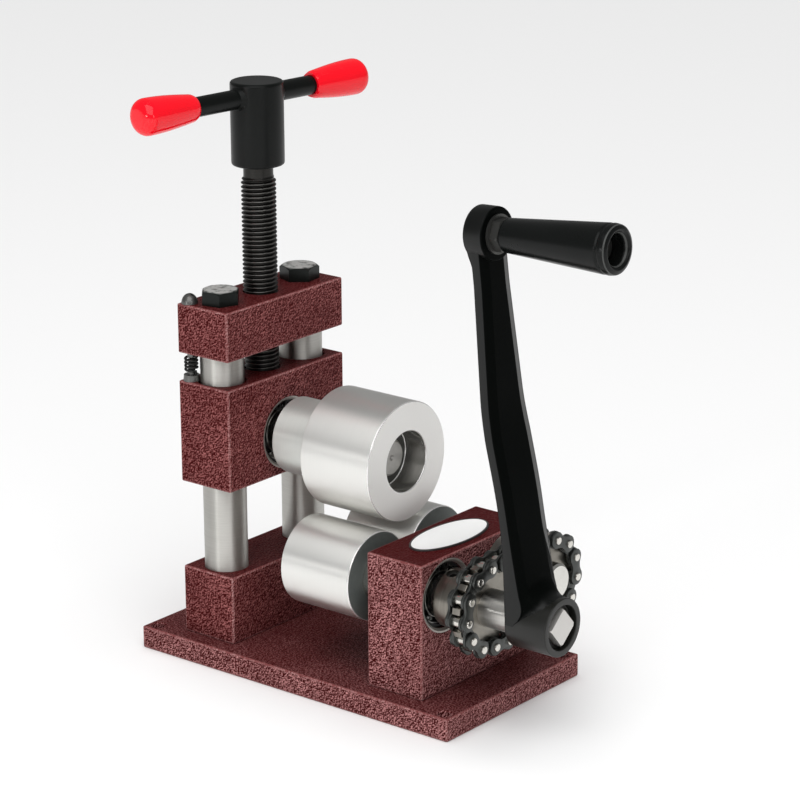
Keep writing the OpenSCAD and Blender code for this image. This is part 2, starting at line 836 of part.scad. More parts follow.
// The one link that is an inner link at its first pin and an outer link at its second
module chain_offset_link() {
    bend = outer_plate_x - inner_plate_x;
    from = link_plate_h / 2;
    to = chain_pitch - link_plate_h / 2;
    reach = link_plate_h;
    strip = [[-reach, 0], [from, 0], [to, bend], [chain_pitch + reach, bend],
        [chain_pitch + reach, bend + link_plate_t], [to, bend + link_plate_t], [from, link_plate_t],
        [-reach, link_plate_t]];
    color(dark_steel) at_link(link_count - 1) for (s = [0, 1]) mirror([s, 0, 0]) intersection() {
        along_x(inner_plate_x, outer_plate_x + link_plate_t) link_outline(link_plate_h);
        translate([inner_plate_x, 0, 0]) linear_extrude(2 * link_plate_h, center = true)
            polygon([for (p = strip) [p[1], p[0]]]);
    }
}

module chain_rollers() {
    half = inner_plate_x - 0.08;
    color(steel) for (i = [0 : link_count - 1]) at_link(i)
        x_tube(link_roller_d, link_pin_d + 2 * seat, -half, half);
}

module chain_pins() {
    color(steel) for (i = [0 : link_count - 1]) at_link(i) x_bar(link_pin_d, -pin_half, pin_half, 0.3);
}

// Carriage

module carriage_block() {
    color(maroon) difference() {
        translate([column_x, 0, carriage_z]) bevel_block(block_w, block_l, carriage_h, edge);
        for (side = [-1, 1]) {
            at_column(side) translate([0, 0, carriage_z - 1])
                cylinder(d = bush_d + 2 * seat, h = carriage_h + 2);
            at_spring(side) translate([0, 0, carriage_top - stud_depth])
                cylinder(d = spring_screw_d + 2 * seat, h = stud_depth + 1);
        }
        at_upper() bearing_line(block_rear, block_front);
        at_screw() translate([0, 0, socket_z]) cylinder(d = screw_d + 2 * clear, h = socket_depth + 1);
    }
}

module column_bushes() {
    inset = 3;
    color(bronze) for (side = [-1, 1], z = [carriage_z + inset, carriage_top - bush_l - inset])
        at_column(side) translate([0, 0, z]) difference() {
            cylinder(d = bush_d, h = bush_l);
            translate([0, 0, -1]) cylinder(d = column_d + 2 * run, h = bush_l + 2);
        }
}

module carriage_outer_races() {
    color(steel) at_upper() {
        outer_race(carriage_bearing_rear);
        outer_race(carriage_bearing_front - bearing_w);
    }
}

module carriage_balls() {
    color(steel) at_upper() {
        ball_ring(carriage_bearing_rear);
        ball_ring(carriage_bearing_front - bearing_w);
    }
}

module carriage_circlips() {
    color(dark_steel) at_upper() {
        inside_circlip(block_rear + clip_depth);
        inside_circlip(carriage_bearing_front);
    }
}

module thrust_pad() {
    color(bronze) at_screw() translate([0, 0, socket_z]) cylinder(d = screw_d, h = pad_t);
}

// Studs with a collar under each spring
module spring_studs() {
    color(dark_steel) for (side = [-1, 1]) at_spring(side) translate([0, 0, carriage_top]) {
        cylinder(d1 = collar_d, d2 = collar_d - 0.6, h = collar_h);
        translate([0, 0, -stud_depth + seat])
            cylinder(d = spring_screw_d, h = stud_depth + collar_h + stud_stand);
    }
}

// Lead screw and tee handle

// Thread grooves are drawn as rings, two flanks to a pitch
module lead_screw() {
    turns = floor((neck_z - screw_foot - 4) / screw_pitch);
    r = screw_d / 2;
    core = screw_core_d / 2;
    flat = screw_pitch / 8;
    z_at = function (i) neck_z - i * screw_pitch;
    profile = concat(
        [[0, hub_z + screw_tenon], [core, hub_z + screw_tenon], [core, neck_z]],
        [for (i = [0 : turns - 1]) let (crest = z_at(i + 0.5), root = z_at(i + 1)) each [
            [r, crest + flat], [r, crest - flat], [core, root + flat], [core, root]]],
        [[core, screw_foot + 1], [core - 1, screw_foot], [0, screw_foot]]);
    color(black) at_screw() rotate_extrude() polygon(profile);
}

module handle_hub() {
    round_r = 1.6;
    arc = [for (i = [0 : 4]) let (a = i * 90 / 4)
        [hub_d / 2 - round_r + round_r * cos(a), hub_top - round_r + round_r * sin(a)]];
    color(black) difference() {
        at_screw() rotate_extrude() polygon(concat([[0, hub_z], [hub_d / 2 - 0.8, hub_z],
            [hub_d / 2, hub_z + 0.8]], arc, [[0, hub_top]]));
        at_screw() translate([0, 0, hub_z - 1]) cylinder(d = screw_core_d + 2 * seat, h = screw_tenon + 1);
        at_bar() cylinder(d = bar_d + 2 * seat, h = 2 * hub_d, center = true);
        grub_place() cylinder(d = grub_d + 2 * seat, h = hub_d);
    }
}

// Axis of the cross bar along +Z of its children
module at_bar() {
    translate([column_x, 0, bar_z]) rotate(-bar_turn) rotate([-90, 0, 0]) children();
}

module cross_bar() {
    reach = red_in + red_l - red_hold;
    color(black) at_bar() translate([0, 0, bar_shift - reach]) cylinder(d = bar_d, h = 2 * reach);
}

// Grip on the end of the cross bar: fattest near its rounded end
module red_grip(side) {
    r_in = red_d_in / 2;
    r_out = red_d_out / 2;
    round_r = 5;
    dome = [for (i = [0 : 6]) let (a = i * 90 / 6)
        [r_out - round_r + round_r * cos(a), red_l - round_r + round_r * sin(a)]];
    color(red) at_bar() translate([0, 0, bar_shift]) mirror([0, 0, side < 0 ? 1 : 0])
        translate([0, 0, red_in]) difference() {
            rotate_extrude() polygon(concat(
                [[0, 0], [r_in - 0.5, 0], [r_in, 0.6], [r_in + (r_out - r_in) * 0.55, red_l * 0.42]],
                dome, [[0, red_l]]));
            translate([0, 0, -1]) cylinder(d = bar_d + 2 * seat, h = red_l - red_hold + 1 + seat);
        }
}

module near_red_grip() {
    red_grip(-1);
}

module far_red_grip() {
    red_grip(1);
}

// Grub screw through the rear of the hub onto the tenon of the screw
module grub_place() {
    translate([column_x, 0, hub_z + grub_up]) rotate([0, -90, 0]) children();
}

module handle_grub_screw() {
    foot = screw_core_d / 2 + seat;
    top = hub_d / 2 - 1;
    color(dark_steel) grub_place() difference() {
        translate([0, 0, foot]) cylinder(d = grub_d, h = top - foot);
        translate([0, 0, top - 2]) hex_prism(grub_d / 2, 3);
    }
}

// Upper roller

upper_key_x = neck_back + key_l / 2 + 3.6;
upper_shaft_front = roller_front - recess_depth + shaft_stand;
upper_shaft_back = block_rear + 0.8;

module upper_roller() {
    color(steel) at_upper() difference() {
        union() {
            x_bar(upper_d, roller_back, roller_front, 0.6);
            x_bar(neck_d, neck_back, roller_back + 1, 0.4);
        }
        x_cyl(recess_d, roller_front - recess_depth, roller_front + 1);
        x_cyl(shaft_d + 2 * seat, neck_back - 1, roller_front);
        keyway(neck_back - 1, roller_front, seat);
    }
}

// Right-angled cone of a lathe centre, sunk below z = 0
module lathe_centre() {
    deep = shaft_d / 12;
    translate([0, 0, -deep]) cylinder(r1 = 0, r2 = 2 * deep, h = 2 * deep);
}

// Shaft with a lathe centre in its front end and a clip groove behind the rear bearing
module upper_shaft() {
    color(steel) at_upper() difference() {
        keyed_shaft(upper_shaft_back, upper_shaft_front, upper_key_x);
        translate([upper_shaft_front, 0, 0]) rotate([0, 90, 0]) lathe_centre();
        x_tube(shaft_d + 4, shaft_d - 1.6, carriage_bearing_rear - clip_t - seat, carriage_bearing_rear);
    }
}

module upper_inner_races() {
    color(steel) at_upper() {
        inner_race(carriage_bearing_rear);
        inner_race(carriage_bearing_front - bearing_w);
    }
}

module upper_spacer() {
    color(steel) at_upper() x_tube(sleeve_d, shaft_d + 2 * seat, carriage_bearing_front, neck_back);
}

// Outside circlip: an open ring in the groove of the shaft
module upper_shaft_clip() {
    ring_d = inner_race_d + 0.6;
    back = carriage_bearing_rear - clip_t;
    color(dark_steel) at_upper() along_x(back, back + clip_t - seat) difference() {
        circle(d = ring_d);
        circle(d = shaft_d - 1.6 + 2 * seat);
        translate([-2, -ring_d]) square([4, ring_d]);
    }
}

module upper_key() {
    at_upper() roller_key(upper_key_x);
}

// Cranked lower shaft

module drive_roller() {
    at_lower(-1) lower_roller();
}

// Square outline on the shaft axis
module square_end(af) {
    rotate(square_turn) square(af, center = true);
}

module drive_shaft() {
    color(steel) at_lower(-1) {
        keyed_shaft(lower_shaft_back, square_start, lower_key_x);
        intersection() {
            along_x(square_start - 1, crank_front) square_end(square_af);
            x_bar(shaft_d, square_start - 1, crank_front, 0.8);
        }
    }
}

module drive_inner_races() {
    at_lower(-1) lower_inner_races();
}

module drive_spacers() {
    at_lower(-1) lower_sleeves();
}

module drive_sprocket() {
    at_lower(-1) sprocket(90 + chain_phase);
}

module drive_set_screw() {
    at_lower(-1) set_screw();
}

module drive_key() {
    at_lower(-1) roller_key(lower_key_x);
}

// Crank

// Middle of the arm along X at height u above the shaft: an S bend, then a straight sloping stretch
function arm_x(u) =
    let (t = max(0, min(1, (u - bend_from) / (bend_to - bend_from))), s = t * t * (3 - 2 * t))
    arm_mid + s * (eye_x + (crank_r - u) * tan(arm_slope) - arm_mid);

// Side view of the arm in X and Z
module arm_side() {
    rows = [for (i = [0 : 24]) i * crank_r / 24];
    polygon(concat(
        [for (u = rows) [arm_x(u) - arm_t / 2, u]],
        [for (i = [24 : -1 : 0]) [arm_x(rows[i]) + arm_t / 2, rows[i]]]));
}

// Hollow flare around the hub, from the front of the arm out to the side of the hub, sunk a little into both
module arm_flare() {
    mid_r = crank_hub_d / 2 + arm_fillet - flare_sink;
    mid_x = arm_mid + arm_t / 2 + arm_fillet - flare_sink;
    arc = [for (i = [0 : 6]) let (a = 270 - i * 90 / 6)
        [mid_r + arm_fillet * cos(a), mid_x + arm_fillet * sin(a)]];
    rotate([0, 90, 0]) rotate_extrude() polygon(concat([[0, mid_x - arm_fillet]], arc, [[0, mid_x]]));
}

// Front view of the arm in Y and Z
module arm_front() {
    foot = crank_hub_d / 2;
    bend = arm_bend_w / 2;
    eye = arm_eye_w / 2;
    neck_up = crank_r - arm_eye_down;
    polygon([[-foot, 0], [foot, 0], [foot, arm_foot_up], [bend, arm_bend_up], [eye, neck_up],
        [eye, crank_r], [-eye, crank_r], [-eye, neck_up], [-bend, arm_bend_up], [-foot, arm_foot_up]]);
}

// Frame of the crank: Z runs up the arm from the shaft
module at_crank() {
    at_lower(-1) rotate([crank_lean, 0, 0]) children();
}

// Frame of the grip: Z runs outwards along the spindle from the middle of the eye
module at_eye() {
    at_crank() translate([eye_x, 0, crank_r]) rotate([0, 90 - arm_rake, 0]) children();
}

module crank_arm() {
    color(black) difference() {
        union() {
            at_crank() intersection() {
                along_x(eye_x - crank_r, crank_front) arm_front();
                union() {
                    rotate([90, 0, 0]) linear_extrude(crank_r, center = true) arm_side();
                    arm_flare();
                }
            }
            at_crank() x_bar(crank_hub_d, crank_back, crank_front, 0.8);
            at_eye() translate([0, 0, -eye_l / 2]) cylinder(d = eye_d, h = eye_l);
        }
        at_lower(-1) along_x(crank_back - 1, crank_front + 1) square_end(square_af + 2 * seat);
        at_lower(-1) x_cyl(crank_recess_d, crank_front - crank_recess_depth, crank_front + 1);
        at_eye() translate([0, 0, -eye_l]) cylinder(d = spindle_d + 2 * seat, h = 2 * eye_l);
    }
}

// Shoulder bolt: thread in the eye, smooth shoulder in the grip, slotted head in the hole of the grip
module grip_spindle() {
    head_z = grip_out - grip_hole_depth + clear;
    color(dark_steel) at_eye() difference() {
        union() {
            translate([0, 0, -eye_l / 2]) cylinder(d = spindle_d, h = grip_in + eye_l / 2);
            translate([0, 0, grip_in - clear]) cylinder(d = shoulder_d, h = head_z - grip_in + clear);
            translate([0, 0, head_z]) cylinder(d = spindle_head_d, h = spindle_head_t);
        }
        translate([-spindle_head_d, -0.8, head_z + spindle_head_t - 1.6]) cube([2 * spindle_head_d, 1.6, 2]);
    }
}

module spindle_nut() {
    color(dark_steel) at_eye() translate([0, 0, eye_l / 2 + spindle_washer_t]) difference() {
        rotate(spindle_nut_turn) hex_prism(spindle_nut_af, spindle_nut_t);
        translate([0, 0, -1]) cylinder(d = spindle_d + 2 * seat, h = spindle_nut_t + 2);
    }
}

module spindle_washer() {
    color(dark_steel) at_eye() translate([0, 0, eye_l / 2]) difference() {
        cylinder(d = 2 * spindle_d + 1, h = spindle_washer_t);
        translate([0, 0, -1]) cylinder(d = spindle_d + 2 * seat, h = spindle_washer_t + 2);
    }
}

// Tapered grip that turns on the shoulder of the spindle
module crank_grip() {
    r_in = grip_d_in / 2;
    r_out = grip_d_out / 2;
    rim = [for (i = [0 : 6]) let (a = i * 90 / 6)
        [r_out - grip_round + grip_round * cos(a), grip_out - grip_round + grip_round * sin(a)]];
    color(black) at_eye() difference() {
        rotate_extrude() polygon(concat(
            [[0, grip_in], [r_in - 0.8, grip_in], [r_in, grip_in + 0.8]], rim, [[0, grip_out]]));
        translate([0, 0, grip_in - 1]) cylinder(d = shoulder_d + 2 * run, h = grip_l + 2);
        translate([0, 0, grip_out - grip_hole_depth]) cylinder(d = grip_hole_d, h = grip_hole_depth + 1);
    }
}

// Driven lower shaft

module driven_roller() {
    at_lower(1) lower_roller();
}

module driven_shaft() {
    color(steel) at_lower(1) keyed_shaft(lower_shaft_back, driven_end, lower_key_x);
}

module driven_inner_races() {
    at_lower(1) lower_inner_races();
}

module driven_spacers() {
    at_lower(1) lower_sleeves();
}

// A span that is not a whole number of pitches turns this sprocket's teeth against the other's
module driven_sprocket() {
    step = 360 / teeth;
    at_lower(1) sprocket(90 + chain_phase + (span_pitches - floor(span_pitches)) * step);
}

module driven_set_screw() {
    at_lower(1) set_screw();
}

module driven_key() {
    at_lower(1) roller_key(lower_key_x);
}

base_plate();
base_screws();
post_block();
near_column();
far_column();
top_beam();
column_bolts();
front_block();
name_plate();
block_outer_races();
block_balls();
block_circlips();
spring_screws();
return_springs();
chain_inner_plates();
chain_outer_plates();
chain_offset_link();
chain_rollers();
chain_pins();
carriage_block();
column_bushes();
carriage_outer_races();
carriage_balls();
carriage_circlips();
thrust_pad();
spring_studs();
lead_screw();
handle_hub();
cross_bar();
near_red_grip();
far_red_grip();
handle_grub_screw();
upper_roller();
upper_shaft();
upper_inner_races();
upper_spacer();
upper_shaft_clip();
upper_key();
drive_roller();
drive_shaft();
drive_inner_races();
drive_spacers();
drive_sprocket();
drive_set_screw();
drive_key();
crank_arm();
grip_spindle();
spindle_nut();
spindle_washer();
crank_grip();
driven_roller();
driven_shaft();
driven_inner_races();
driven_spacers();
driven_sprocket();
driven_set_screw();
driven_key();
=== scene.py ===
import math

import bmesh
import bpy
from mathutils import Matrix, Vector


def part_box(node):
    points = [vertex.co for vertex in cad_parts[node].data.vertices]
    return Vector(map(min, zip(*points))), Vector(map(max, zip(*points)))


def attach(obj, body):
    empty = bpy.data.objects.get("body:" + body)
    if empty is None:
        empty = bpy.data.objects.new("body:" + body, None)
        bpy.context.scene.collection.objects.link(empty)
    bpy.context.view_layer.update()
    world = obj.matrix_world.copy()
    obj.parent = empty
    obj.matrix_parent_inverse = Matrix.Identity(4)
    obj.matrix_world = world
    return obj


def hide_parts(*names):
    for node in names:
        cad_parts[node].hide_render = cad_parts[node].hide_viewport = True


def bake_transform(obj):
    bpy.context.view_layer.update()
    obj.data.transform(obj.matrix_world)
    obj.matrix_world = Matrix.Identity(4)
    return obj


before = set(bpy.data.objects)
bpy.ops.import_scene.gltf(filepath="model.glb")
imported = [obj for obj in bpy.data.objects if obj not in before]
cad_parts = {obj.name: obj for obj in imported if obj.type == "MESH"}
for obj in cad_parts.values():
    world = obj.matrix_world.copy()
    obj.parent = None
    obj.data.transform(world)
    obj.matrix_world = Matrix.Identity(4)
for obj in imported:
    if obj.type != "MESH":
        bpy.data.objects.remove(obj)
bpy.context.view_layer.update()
scene = bpy.context.scene
mm = 0.001

# Base plate, post, top beam, carriage and bearing block.
# Milled steel blocks with broken edges under a dark red hammer enamel. Its pale ridges are painted
# highlights of the relief, strong on the sides and faint on faces that look up, as the light falls there.
# The pockets are faced after painting, so their rims are bare.
edge_r = 0.8
paint_deep = (0.050, 0.0025, 0.0030, 1)
# Ridge colour: a painted highlight on the relief of the enamel.
paint_ridge_highlight = (0.430, 0.152, 0.148, 1)
# Lighter enamel colours for the broken edges: painted highlight.
edge_highlight_deep = (0.190, 0.055, 0.055, 1)
edge_highlight_pale = (0.520, 0.290, 0.280, 1)
# Brighter ridges for the base plate and front block: painted light from the floor.
floor_lit_highlight = (0.660, 0.302, 0.297, 1)
ridges = 1150.0
base_front_ridges = 1250.0
# Share of the painted ridge highlights that is left on faces that look up, which are painted darker.
top_highlight_share = 0.30
base_top_highlight_share = 0.38
front_top_highlight_share = 0.07


def cad_box(node):
    """Lowest and highest corner of a CAD node, in millimetres."""
    low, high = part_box(node)
    return low / mm, high / mm


def node_group(name, inputs, outputs):
    """Empty shader group with float inputs, and its input and output nodes."""
    group = bpy.data.node_groups.new(name, "ShaderNodeTree")
    for label, value in inputs:
        socket = group.interface.new_socket(label, in_out="INPUT", socket_type="NodeSocketFloat")
        socket.default_value = value
    for label in outputs:
        group.interface.new_socket(label, in_out="OUTPUT", socket_type="NodeSocketFloat")
    return group, group.nodes.new("NodeGroupInput"), group.nodes.new("NodeGroupOutput")


def add(tree, kind, **settings):
    """Shader node with its properties, and its input sockets by name or number."""
    node = tree.nodes.new("ShaderNode" + kind)
    sockets = settings.pop("sockets", {})
    for key, value in settings.items():
        setattr(node, key, value)
    for key, value in sockets.items():
        node.inputs[key].default_value = value
    return node


def material(name, colour, roughness, metallic=0.0, **principled):
    """Principled material, with its tree and its shader."""
    made = bpy.data.materials.new(name)
    made.use_nodes = True
    shader = made.node_tree.nodes["Principled BSDF"]
    shader.inputs["Base Color"].default_value = colour
    shader.inputs["Roughness"].default_value = roughness
    shader.inputs["Metallic"].default_value = metallic
    for label, value in principled.items():
        shader.inputs[label.replace("_", " ")].default_value = value
    return made, made.node_tree, shader


def use_group(tree, group, **values):
    """Places a shader group in a material with its own values."""
    node = tree.nodes.new("ShaderNodeGroup")
    node.node_tree = group
    for label, value in values.items():
        node.inputs[label.replace("_", " ")].default_value = value
    return node


def wire(tree, *links):
    """Links nodes, each link written as a node, its output, the next node and its input."""
    for source, output, target, socket in links:
        tree.links.new(source.outputs[output], target.inputs[socket])


def two_tone(shader, mask, low, high):
    """Mixes a shader's colour from two tones by a mask."""
    tree = shader.id_data
    mix = add(tree, "Mix", data_type="RGBA")
    mix.inputs["A"].default_value = low
    mix.inputs["B"].default_value = high
    tree.links.new(mask, mix.inputs["Factor"])
    tree.links.new(mix.outputs["Result"], shader.inputs["Base Color"])


def spread(shader, value, low, high):
    """Maps a value from 0 to 1 onto a shader's roughness from low to high."""
    tree = shader.id_data
    node = add(tree, "MapRange", sockets={"To Min": low, "To Max": high})
    tree.links.new(value, node.inputs["Value"])
    tree.links.new(node.outputs["Result"], shader.inputs["Roughness"])


def relief(shader, height, depth, strength=1.0):
    """Bump from a height between 0 and 1, with its depth in millimetres."""
    tree = shader.id_data
    bump = add(tree, "Bump", sockets={"Strength": strength, "Distance": depth * mm})
    tree.links.new(height, bump.inputs["Height"])
    tree.links.new(bump.outputs["Normal"], shader.inputs["Normal"])


def smooth_range(tree, low, high, first=0.0, last=1.0):
    """Node that steps smoothly from first to last while its value goes from low to high."""
    span = {"From Min": low, "From Max": high, "To Min": first, "To Max": last}
    return add(tree, "MapRange", interpolation_type="SMOOTHSTEP", sockets=span)


# Hammer enamel: the same noise taken twice, a little apart, leaves short ridges of one size, coloured
# pale on one side: a painted highlight of the relief.
hammer, group_in, group_out = node_group(
    "Hammer enamel", [("Ridge", ridges), ("Flat", top_highlight_share)], ["Pale", "Height", "Sheen"]
)
place = add(hammer, "TexCoord")
shift = add(hammer, "VectorMath", operation="ADD", sockets={1: (-0.00025, -0.00025, 0.00030)})
enamel_noise = {"Detail": 1.0, "Roughness": 0.4, "Distortion": 0.3}
here = add(hammer, "TexNoise", sockets=enamel_noise)
there = add(hammer, "TexNoise", sockets=enamel_noise)
apart = add(hammer, "Math", operation="SUBTRACT")
crest = add(hammer, "MapRange", sockets={"From Min": -0.10, "From Max": 0.27})
drift = add(hammer, "TexNoise", sockets={"Scale": 35.0, "Detail": 2.0})
soft = smooth_range(hammer, 0.30, 0.70, 0.70)
facing = add(hammer, "NewGeometry")
split = add(hammer, "SeparateXYZ")
# Faces that look up keep only a share of the painted highlights: painted shade on the tops.
upward_highlight_fade = smooth_range(hammer, 0.5, 0.95, 1.0)
strong = add(hammer, "Math", operation="MULTIPLY")
ridge_highlight_mask = add(hammer, "Math", operation="MULTIPLY")
wire(
    hammer,
    (group_in, "Ridge", here, "Scale"),
    (group_in, "Ridge", there, "Scale"),
    (place, "Object", here, "Vector"),
    (place, "Object", shift, 0),
    (shift, "Vector", there, "Vector"),
    (here, "Fac", apart, 0),
    (there, "Fac", apart, 1),
    (apart, "Value", crest, "Value"),
    (place, "Object", drift, "Vector"),
    (drift, "Fac", soft, "Value"),
    (facing, "Normal", split, "Vector"),
    (split, "Z", upward_highlight_fade, "Value"),
    (group_in, "Flat", upward_highlight_fade, "To Max"),
    (crest, "Result", strong, 0),
    (soft, "Result", strong, 1),
    (strong, "Value", ridge_highlight_mask, 0),
    (upward_highlight_fade, "Result", ridge_highlight_mask, 1),
    (ridge_highlight_mask, "Value", group_out, "Pale"),
    (here, "Fac", group_out, "Height"),
    (drift, "Fac", group_out, "Sheen"),
)


def sprayed(name, deep, pale, ridges, flat=top_highlight_share):
    """Hammer enamel between its own colour and the painted highlights on its ridges."""
    made, tree, shader = material(name, deep, 0.3, Specular_IOR_Level=0.02)
    enamel = use_group(tree, hammer, Ridge=ridges, Flat=flat)
    two_tone(shader, enamel.outputs["Pale"], deep, pale)
    spread(shader, enamel.outputs["Sheen"], 0.38, 0.26)
    relief(shader, enamel.outputs["Height"], 0.5)
    return made


# The broken edges get a lighter copy of the enamel: a painted highlight where they catch the light.
paint = sprayed("Hammer enamel", paint_deep, paint_ridge_highlight, ridges)
# The base plate and the front block get brighter ridges: painted light from the floor near them.
base_plate_lit_paint = sprayed("Base plate enamel", paint_deep, floor_lit_highlight, base_front_ridges, base_top_highlight_share)
front_block_lit_paint = sprayed("Front block enamel, painted lighter", paint_deep, floor_lit_highlight, base_front_ridges, front_top_highlight_share)
edge_highlight_paint = sprayed("Enamel with painted edge highlight", edge_highlight_deep, edge_highlight_pale, ridges)

# Bare rims: the pockets are faced and chamfered after painting and have dulled.
bare_rim, tree, shader = material("Bare rim", (0.42, 0.40, 0.37, 1), 0.4, 0.7)
dull = add(tree, "TexNoise", sockets={"Scale": 500.0, "Detail": 3.0})
two_tone(shader, dull.outputs["Fac"], (0.34, 0.31, 0.28, 1), (0.66, 0.63, 0.59, 1))
spread(shader, dull.outputs["Fac"], 0.48, 0.32)


def rounded_block(low, high, radius):
    """Block between two corners with all its edges rounded."""
    bm = bmesh.new()
    size = Matrix.Diagonal((*((high - low) * mm), 1))
    bmesh.ops.create_cube(bm, size=1, matrix=Matrix.Translation((low + high) / 2 * mm) @ size)
    bmesh.ops.bevel(bm, geom=bm.edges[:], offset=radius * mm, segments=3, profile=0.5, affect="EDGES")
    return bm


def eased(corners, radius, steps=4):
    """Profile whose corners off the axis are rounded, each by the radius or half its shorter side."""
    points = [Vector(c) for c in corners]
    out = [points[0]]
    for before, corner, after in zip(points, points[1:], points[2:]):
        reach = min(radius, (before - corner).length / 2, (after - corner).length / 2)
        if corner.y < 1e-6 or reach < 1e-6:
            out.append(corner)
            continue
        start = corner + (before - corner).normalized() * reach
        end = corner + (after - corner).normalized() * reach
        for i in range(steps + 1):
            t = i / steps
            out.append(start * (1 - t) ** 2 + corner * 2 * t * (1 - t) + end * t**2)
    return out + [points[-1]]


def circle(centre, side, other, radius, count):
    """Points around a centre, counted from one direction towards another."""
    angles = [2 * math.pi * i / count for i in range(count)]
    return [centre + (side * math.cos(a) + other * math.sin(a)) * radius for a in angles]


def rod(length, radius, ease=0.0):
    """Profile of a round bar with eased ends."""
    return eased([(0, 0), (0, radius), (length, radius), (length, 0)], ease)


def turned(profile, start, axis, segments=96, closed=False):
    """Turned form: a profile of (place along the axis, radius) pairs, from a start point."""
    along = Vector(axis).normalized()
    side = along.orthogonal().normalized()
    if abs(along.x) > 0.9:
        side = (Vector((0, 0, 1)) - along * along.z).normalized()
    other = along.cross(side)
    bm = bmesh.new()
    rings = []
    for place_along, radius in profile:
        centre = Vector(start) + along * place_along
        if radius < 1e-6:
            rings.append([bm.verts.new(centre * mm)])
            continue
        rings.append([bm.verts.new(p * mm) for p in circle(centre, side, other, radius, segments)])
    pairs = list(zip(rings, rings[1:]))
    if closed:
        pairs.append((rings[-1], rings[0]))
    for a, b in pairs:
        for i in range(segments):
            j = (i + 1) % segments
            corners = [a[i % len(a)], a[j % len(a)], b[j % len(b)], b[i % len(b)]]
            face = list(dict.fromkeys(corners))
            if len(face) > 2:
                bm.faces.new(face)
    bmesh.ops.recalc_face_normals(bm, faces=bm.faces[:])
    return bm


def build(name, *parts):
    """Object from one or more closed forms."""
    mesh = bpy.data.meshes.new(name)
    whole = bmesh.new()
    for bm in parts:
        piece = bpy.data.meshes.new("part")
        bm.to_mesh(piece)
        bm.free()
        whole.from_mesh(piece)
        bpy.data.meshes.remove(piece)
    whole.to_mesh(mesh)
    whole.free()
    made = bpy.data.objects.new(name, mesh)
    scene.collection.objects.link(made)
    return made


def carve(piece, *cutters):
    """Cuts closed forms out of a piece."""
    tools = []
    for bm in cutters:
        tool = build("cutter", bm)
        cutting = piece.modifiers.new("cut", "BOOLEAN")
        cutting.object = tool
        cutting.solver = "EXACT"
        tools.append(tool)
    bpy.context.view_layer.update()
    done = piece.evaluated_get(bpy.context.evaluated_depsgraph_get())
    mesh = bpy.data.meshes.new_from_object(done)
    piece.modifiers.clear()
    piece.data = mesh
    for tool in tools:
        bpy.data.objects.remove(tool)


def settle(piece, body, finish, node, smooth=35, also=()):
    """Shades a piece, gives it its finishes, and lets it ride on a body in place of a CAD node."""
    piece.data.shade_smooth()
    piece.data.set_sharp_from_angle(angle=math.radians(smooth))
    piece.data.materials.clear()
    for each in (finish, *also):
        piece.data.materials.append(each)
    if body:
        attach(piece, body)
    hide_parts(node)


def bore(centre, axis, radius, length, rim=0.0):
    """Cutter for a bore that opens at its centre point and runs along an axis, with a chamfered rim."""
    mouth = [(-overcut, radius + rim + overcut), (rim, radius)] if rim else [(-overcut, radius)]
    return turned([(-overcut, 0), *mouth, (length, radius), (length, 0)], centre, axis, 64)


def painted(node, body, *cutters, rims=(), finish=paint):
    """Painted block in the place of a CAD node, with bare metal on the rims of its bearing pockets and a
    painted highlight on its rounded edges.
    """
    piece = build("painted_" + node, rounded_block(*cad_box(node), edge_r))
    carve(piece, *cutters)
    settle(piece, body, finish, node, also=(bare_rim, edge_highlight_paint))
    low, high = cad_box(node)
    for face in piece.data.polygons:
        middle = face.center / mm
        inset = sorted(min(abs(middle[i] - low[i]), abs(middle[i] - high[i])) for i in range(3))
        if max(abs(way) for way in face.normal) < 0.98 and inset[1] < edge_r:
            face.material_index = 2
        for y, z in rims:
            out = math.hypot(middle.y - y, middle.z - z)
            flat = abs(face.normal.x) > 0.9 and faced_depth - 0.02 < inset[0] < faced_depth + 0.08
            if flat or (0.5 < abs(face.normal.x) < 0.9 and abs(out - bearing_r - rim / 2) < rim):
                face.material_index = 1
    piece.modifiers.new("flat faces", "WEIGHTED_NORMAL").keep_sharp = True


base_low, base_high = cad_box("base_plate")
post_top = cad_box("post_block")[1].z
beam_top = cad_box("top_beam")[1].z
carriage_low, carriage_high = cad_box("carriage_block")
front_low, front_high = cad_box("front_block")
column_low, column_high = cad_box("near_column")
column_r = (column_high.x - column_low.x) / 2
column_x = (column_low.x + column_high.x) / 2
column_y = -(column_low.y + column_high.y) / 2
upper_z = sum(corner.z for corner in cad_box("upper_shaft")) / 2
lower_z = sum(corner.z for corner in cad_box("driven_shaft")) / 2
lower_y = sum(corner.y for corner in cad_box("driven_shaft")) / 2
shaft_r = (cad_box("driven_shaft")[1].z - cad_box("driven_shaft")[0].z) / 2
bearing_r = 15.0
rim = 1.2
faced = 0.7
faced_depth = 0.12
overcut = 2.0
through = 40.0
fit = 0.1
pocket_depth = 10.8
web_r = 12.0
mount_r = 3.2
mount_inset = 5.2

up = (0, 0, 1)
down = (0, 0, -1)
ahead = (1, 0, 0)
behind = (-1, 0, 0)


def bearing_pockets(low, high, y, z):
    """Cutters for the two pockets, their faced rims and the web bore through a block."""
    return (
        bore((high.x, y, z), behind, bearing_r, pocket_depth, rim),
        bore((low.x, y, z), ahead, bearing_r, pocket_depth, rim),
        bore((high.x, y, z), behind, bearing_r + rim + faced, faced_depth),
        bore((low.x, y, z), ahead, bearing_r + rim + faced, faced_depth),
        bore((low.x, y, z), ahead, web_r, high.x - low.x + overcut),
    )


mount_cuts = [
    bore((x, y, base_high.z), down, mount_r, through, 0.5)
    for x in (base_low.x + mount_inset, base_high.x - mount_inset)
    for y in (base_low.y + mount_inset, base_high.y - mount_inset)
]
painted("base_plate", "frame", *mount_cuts, finish=base_plate_lit_paint)

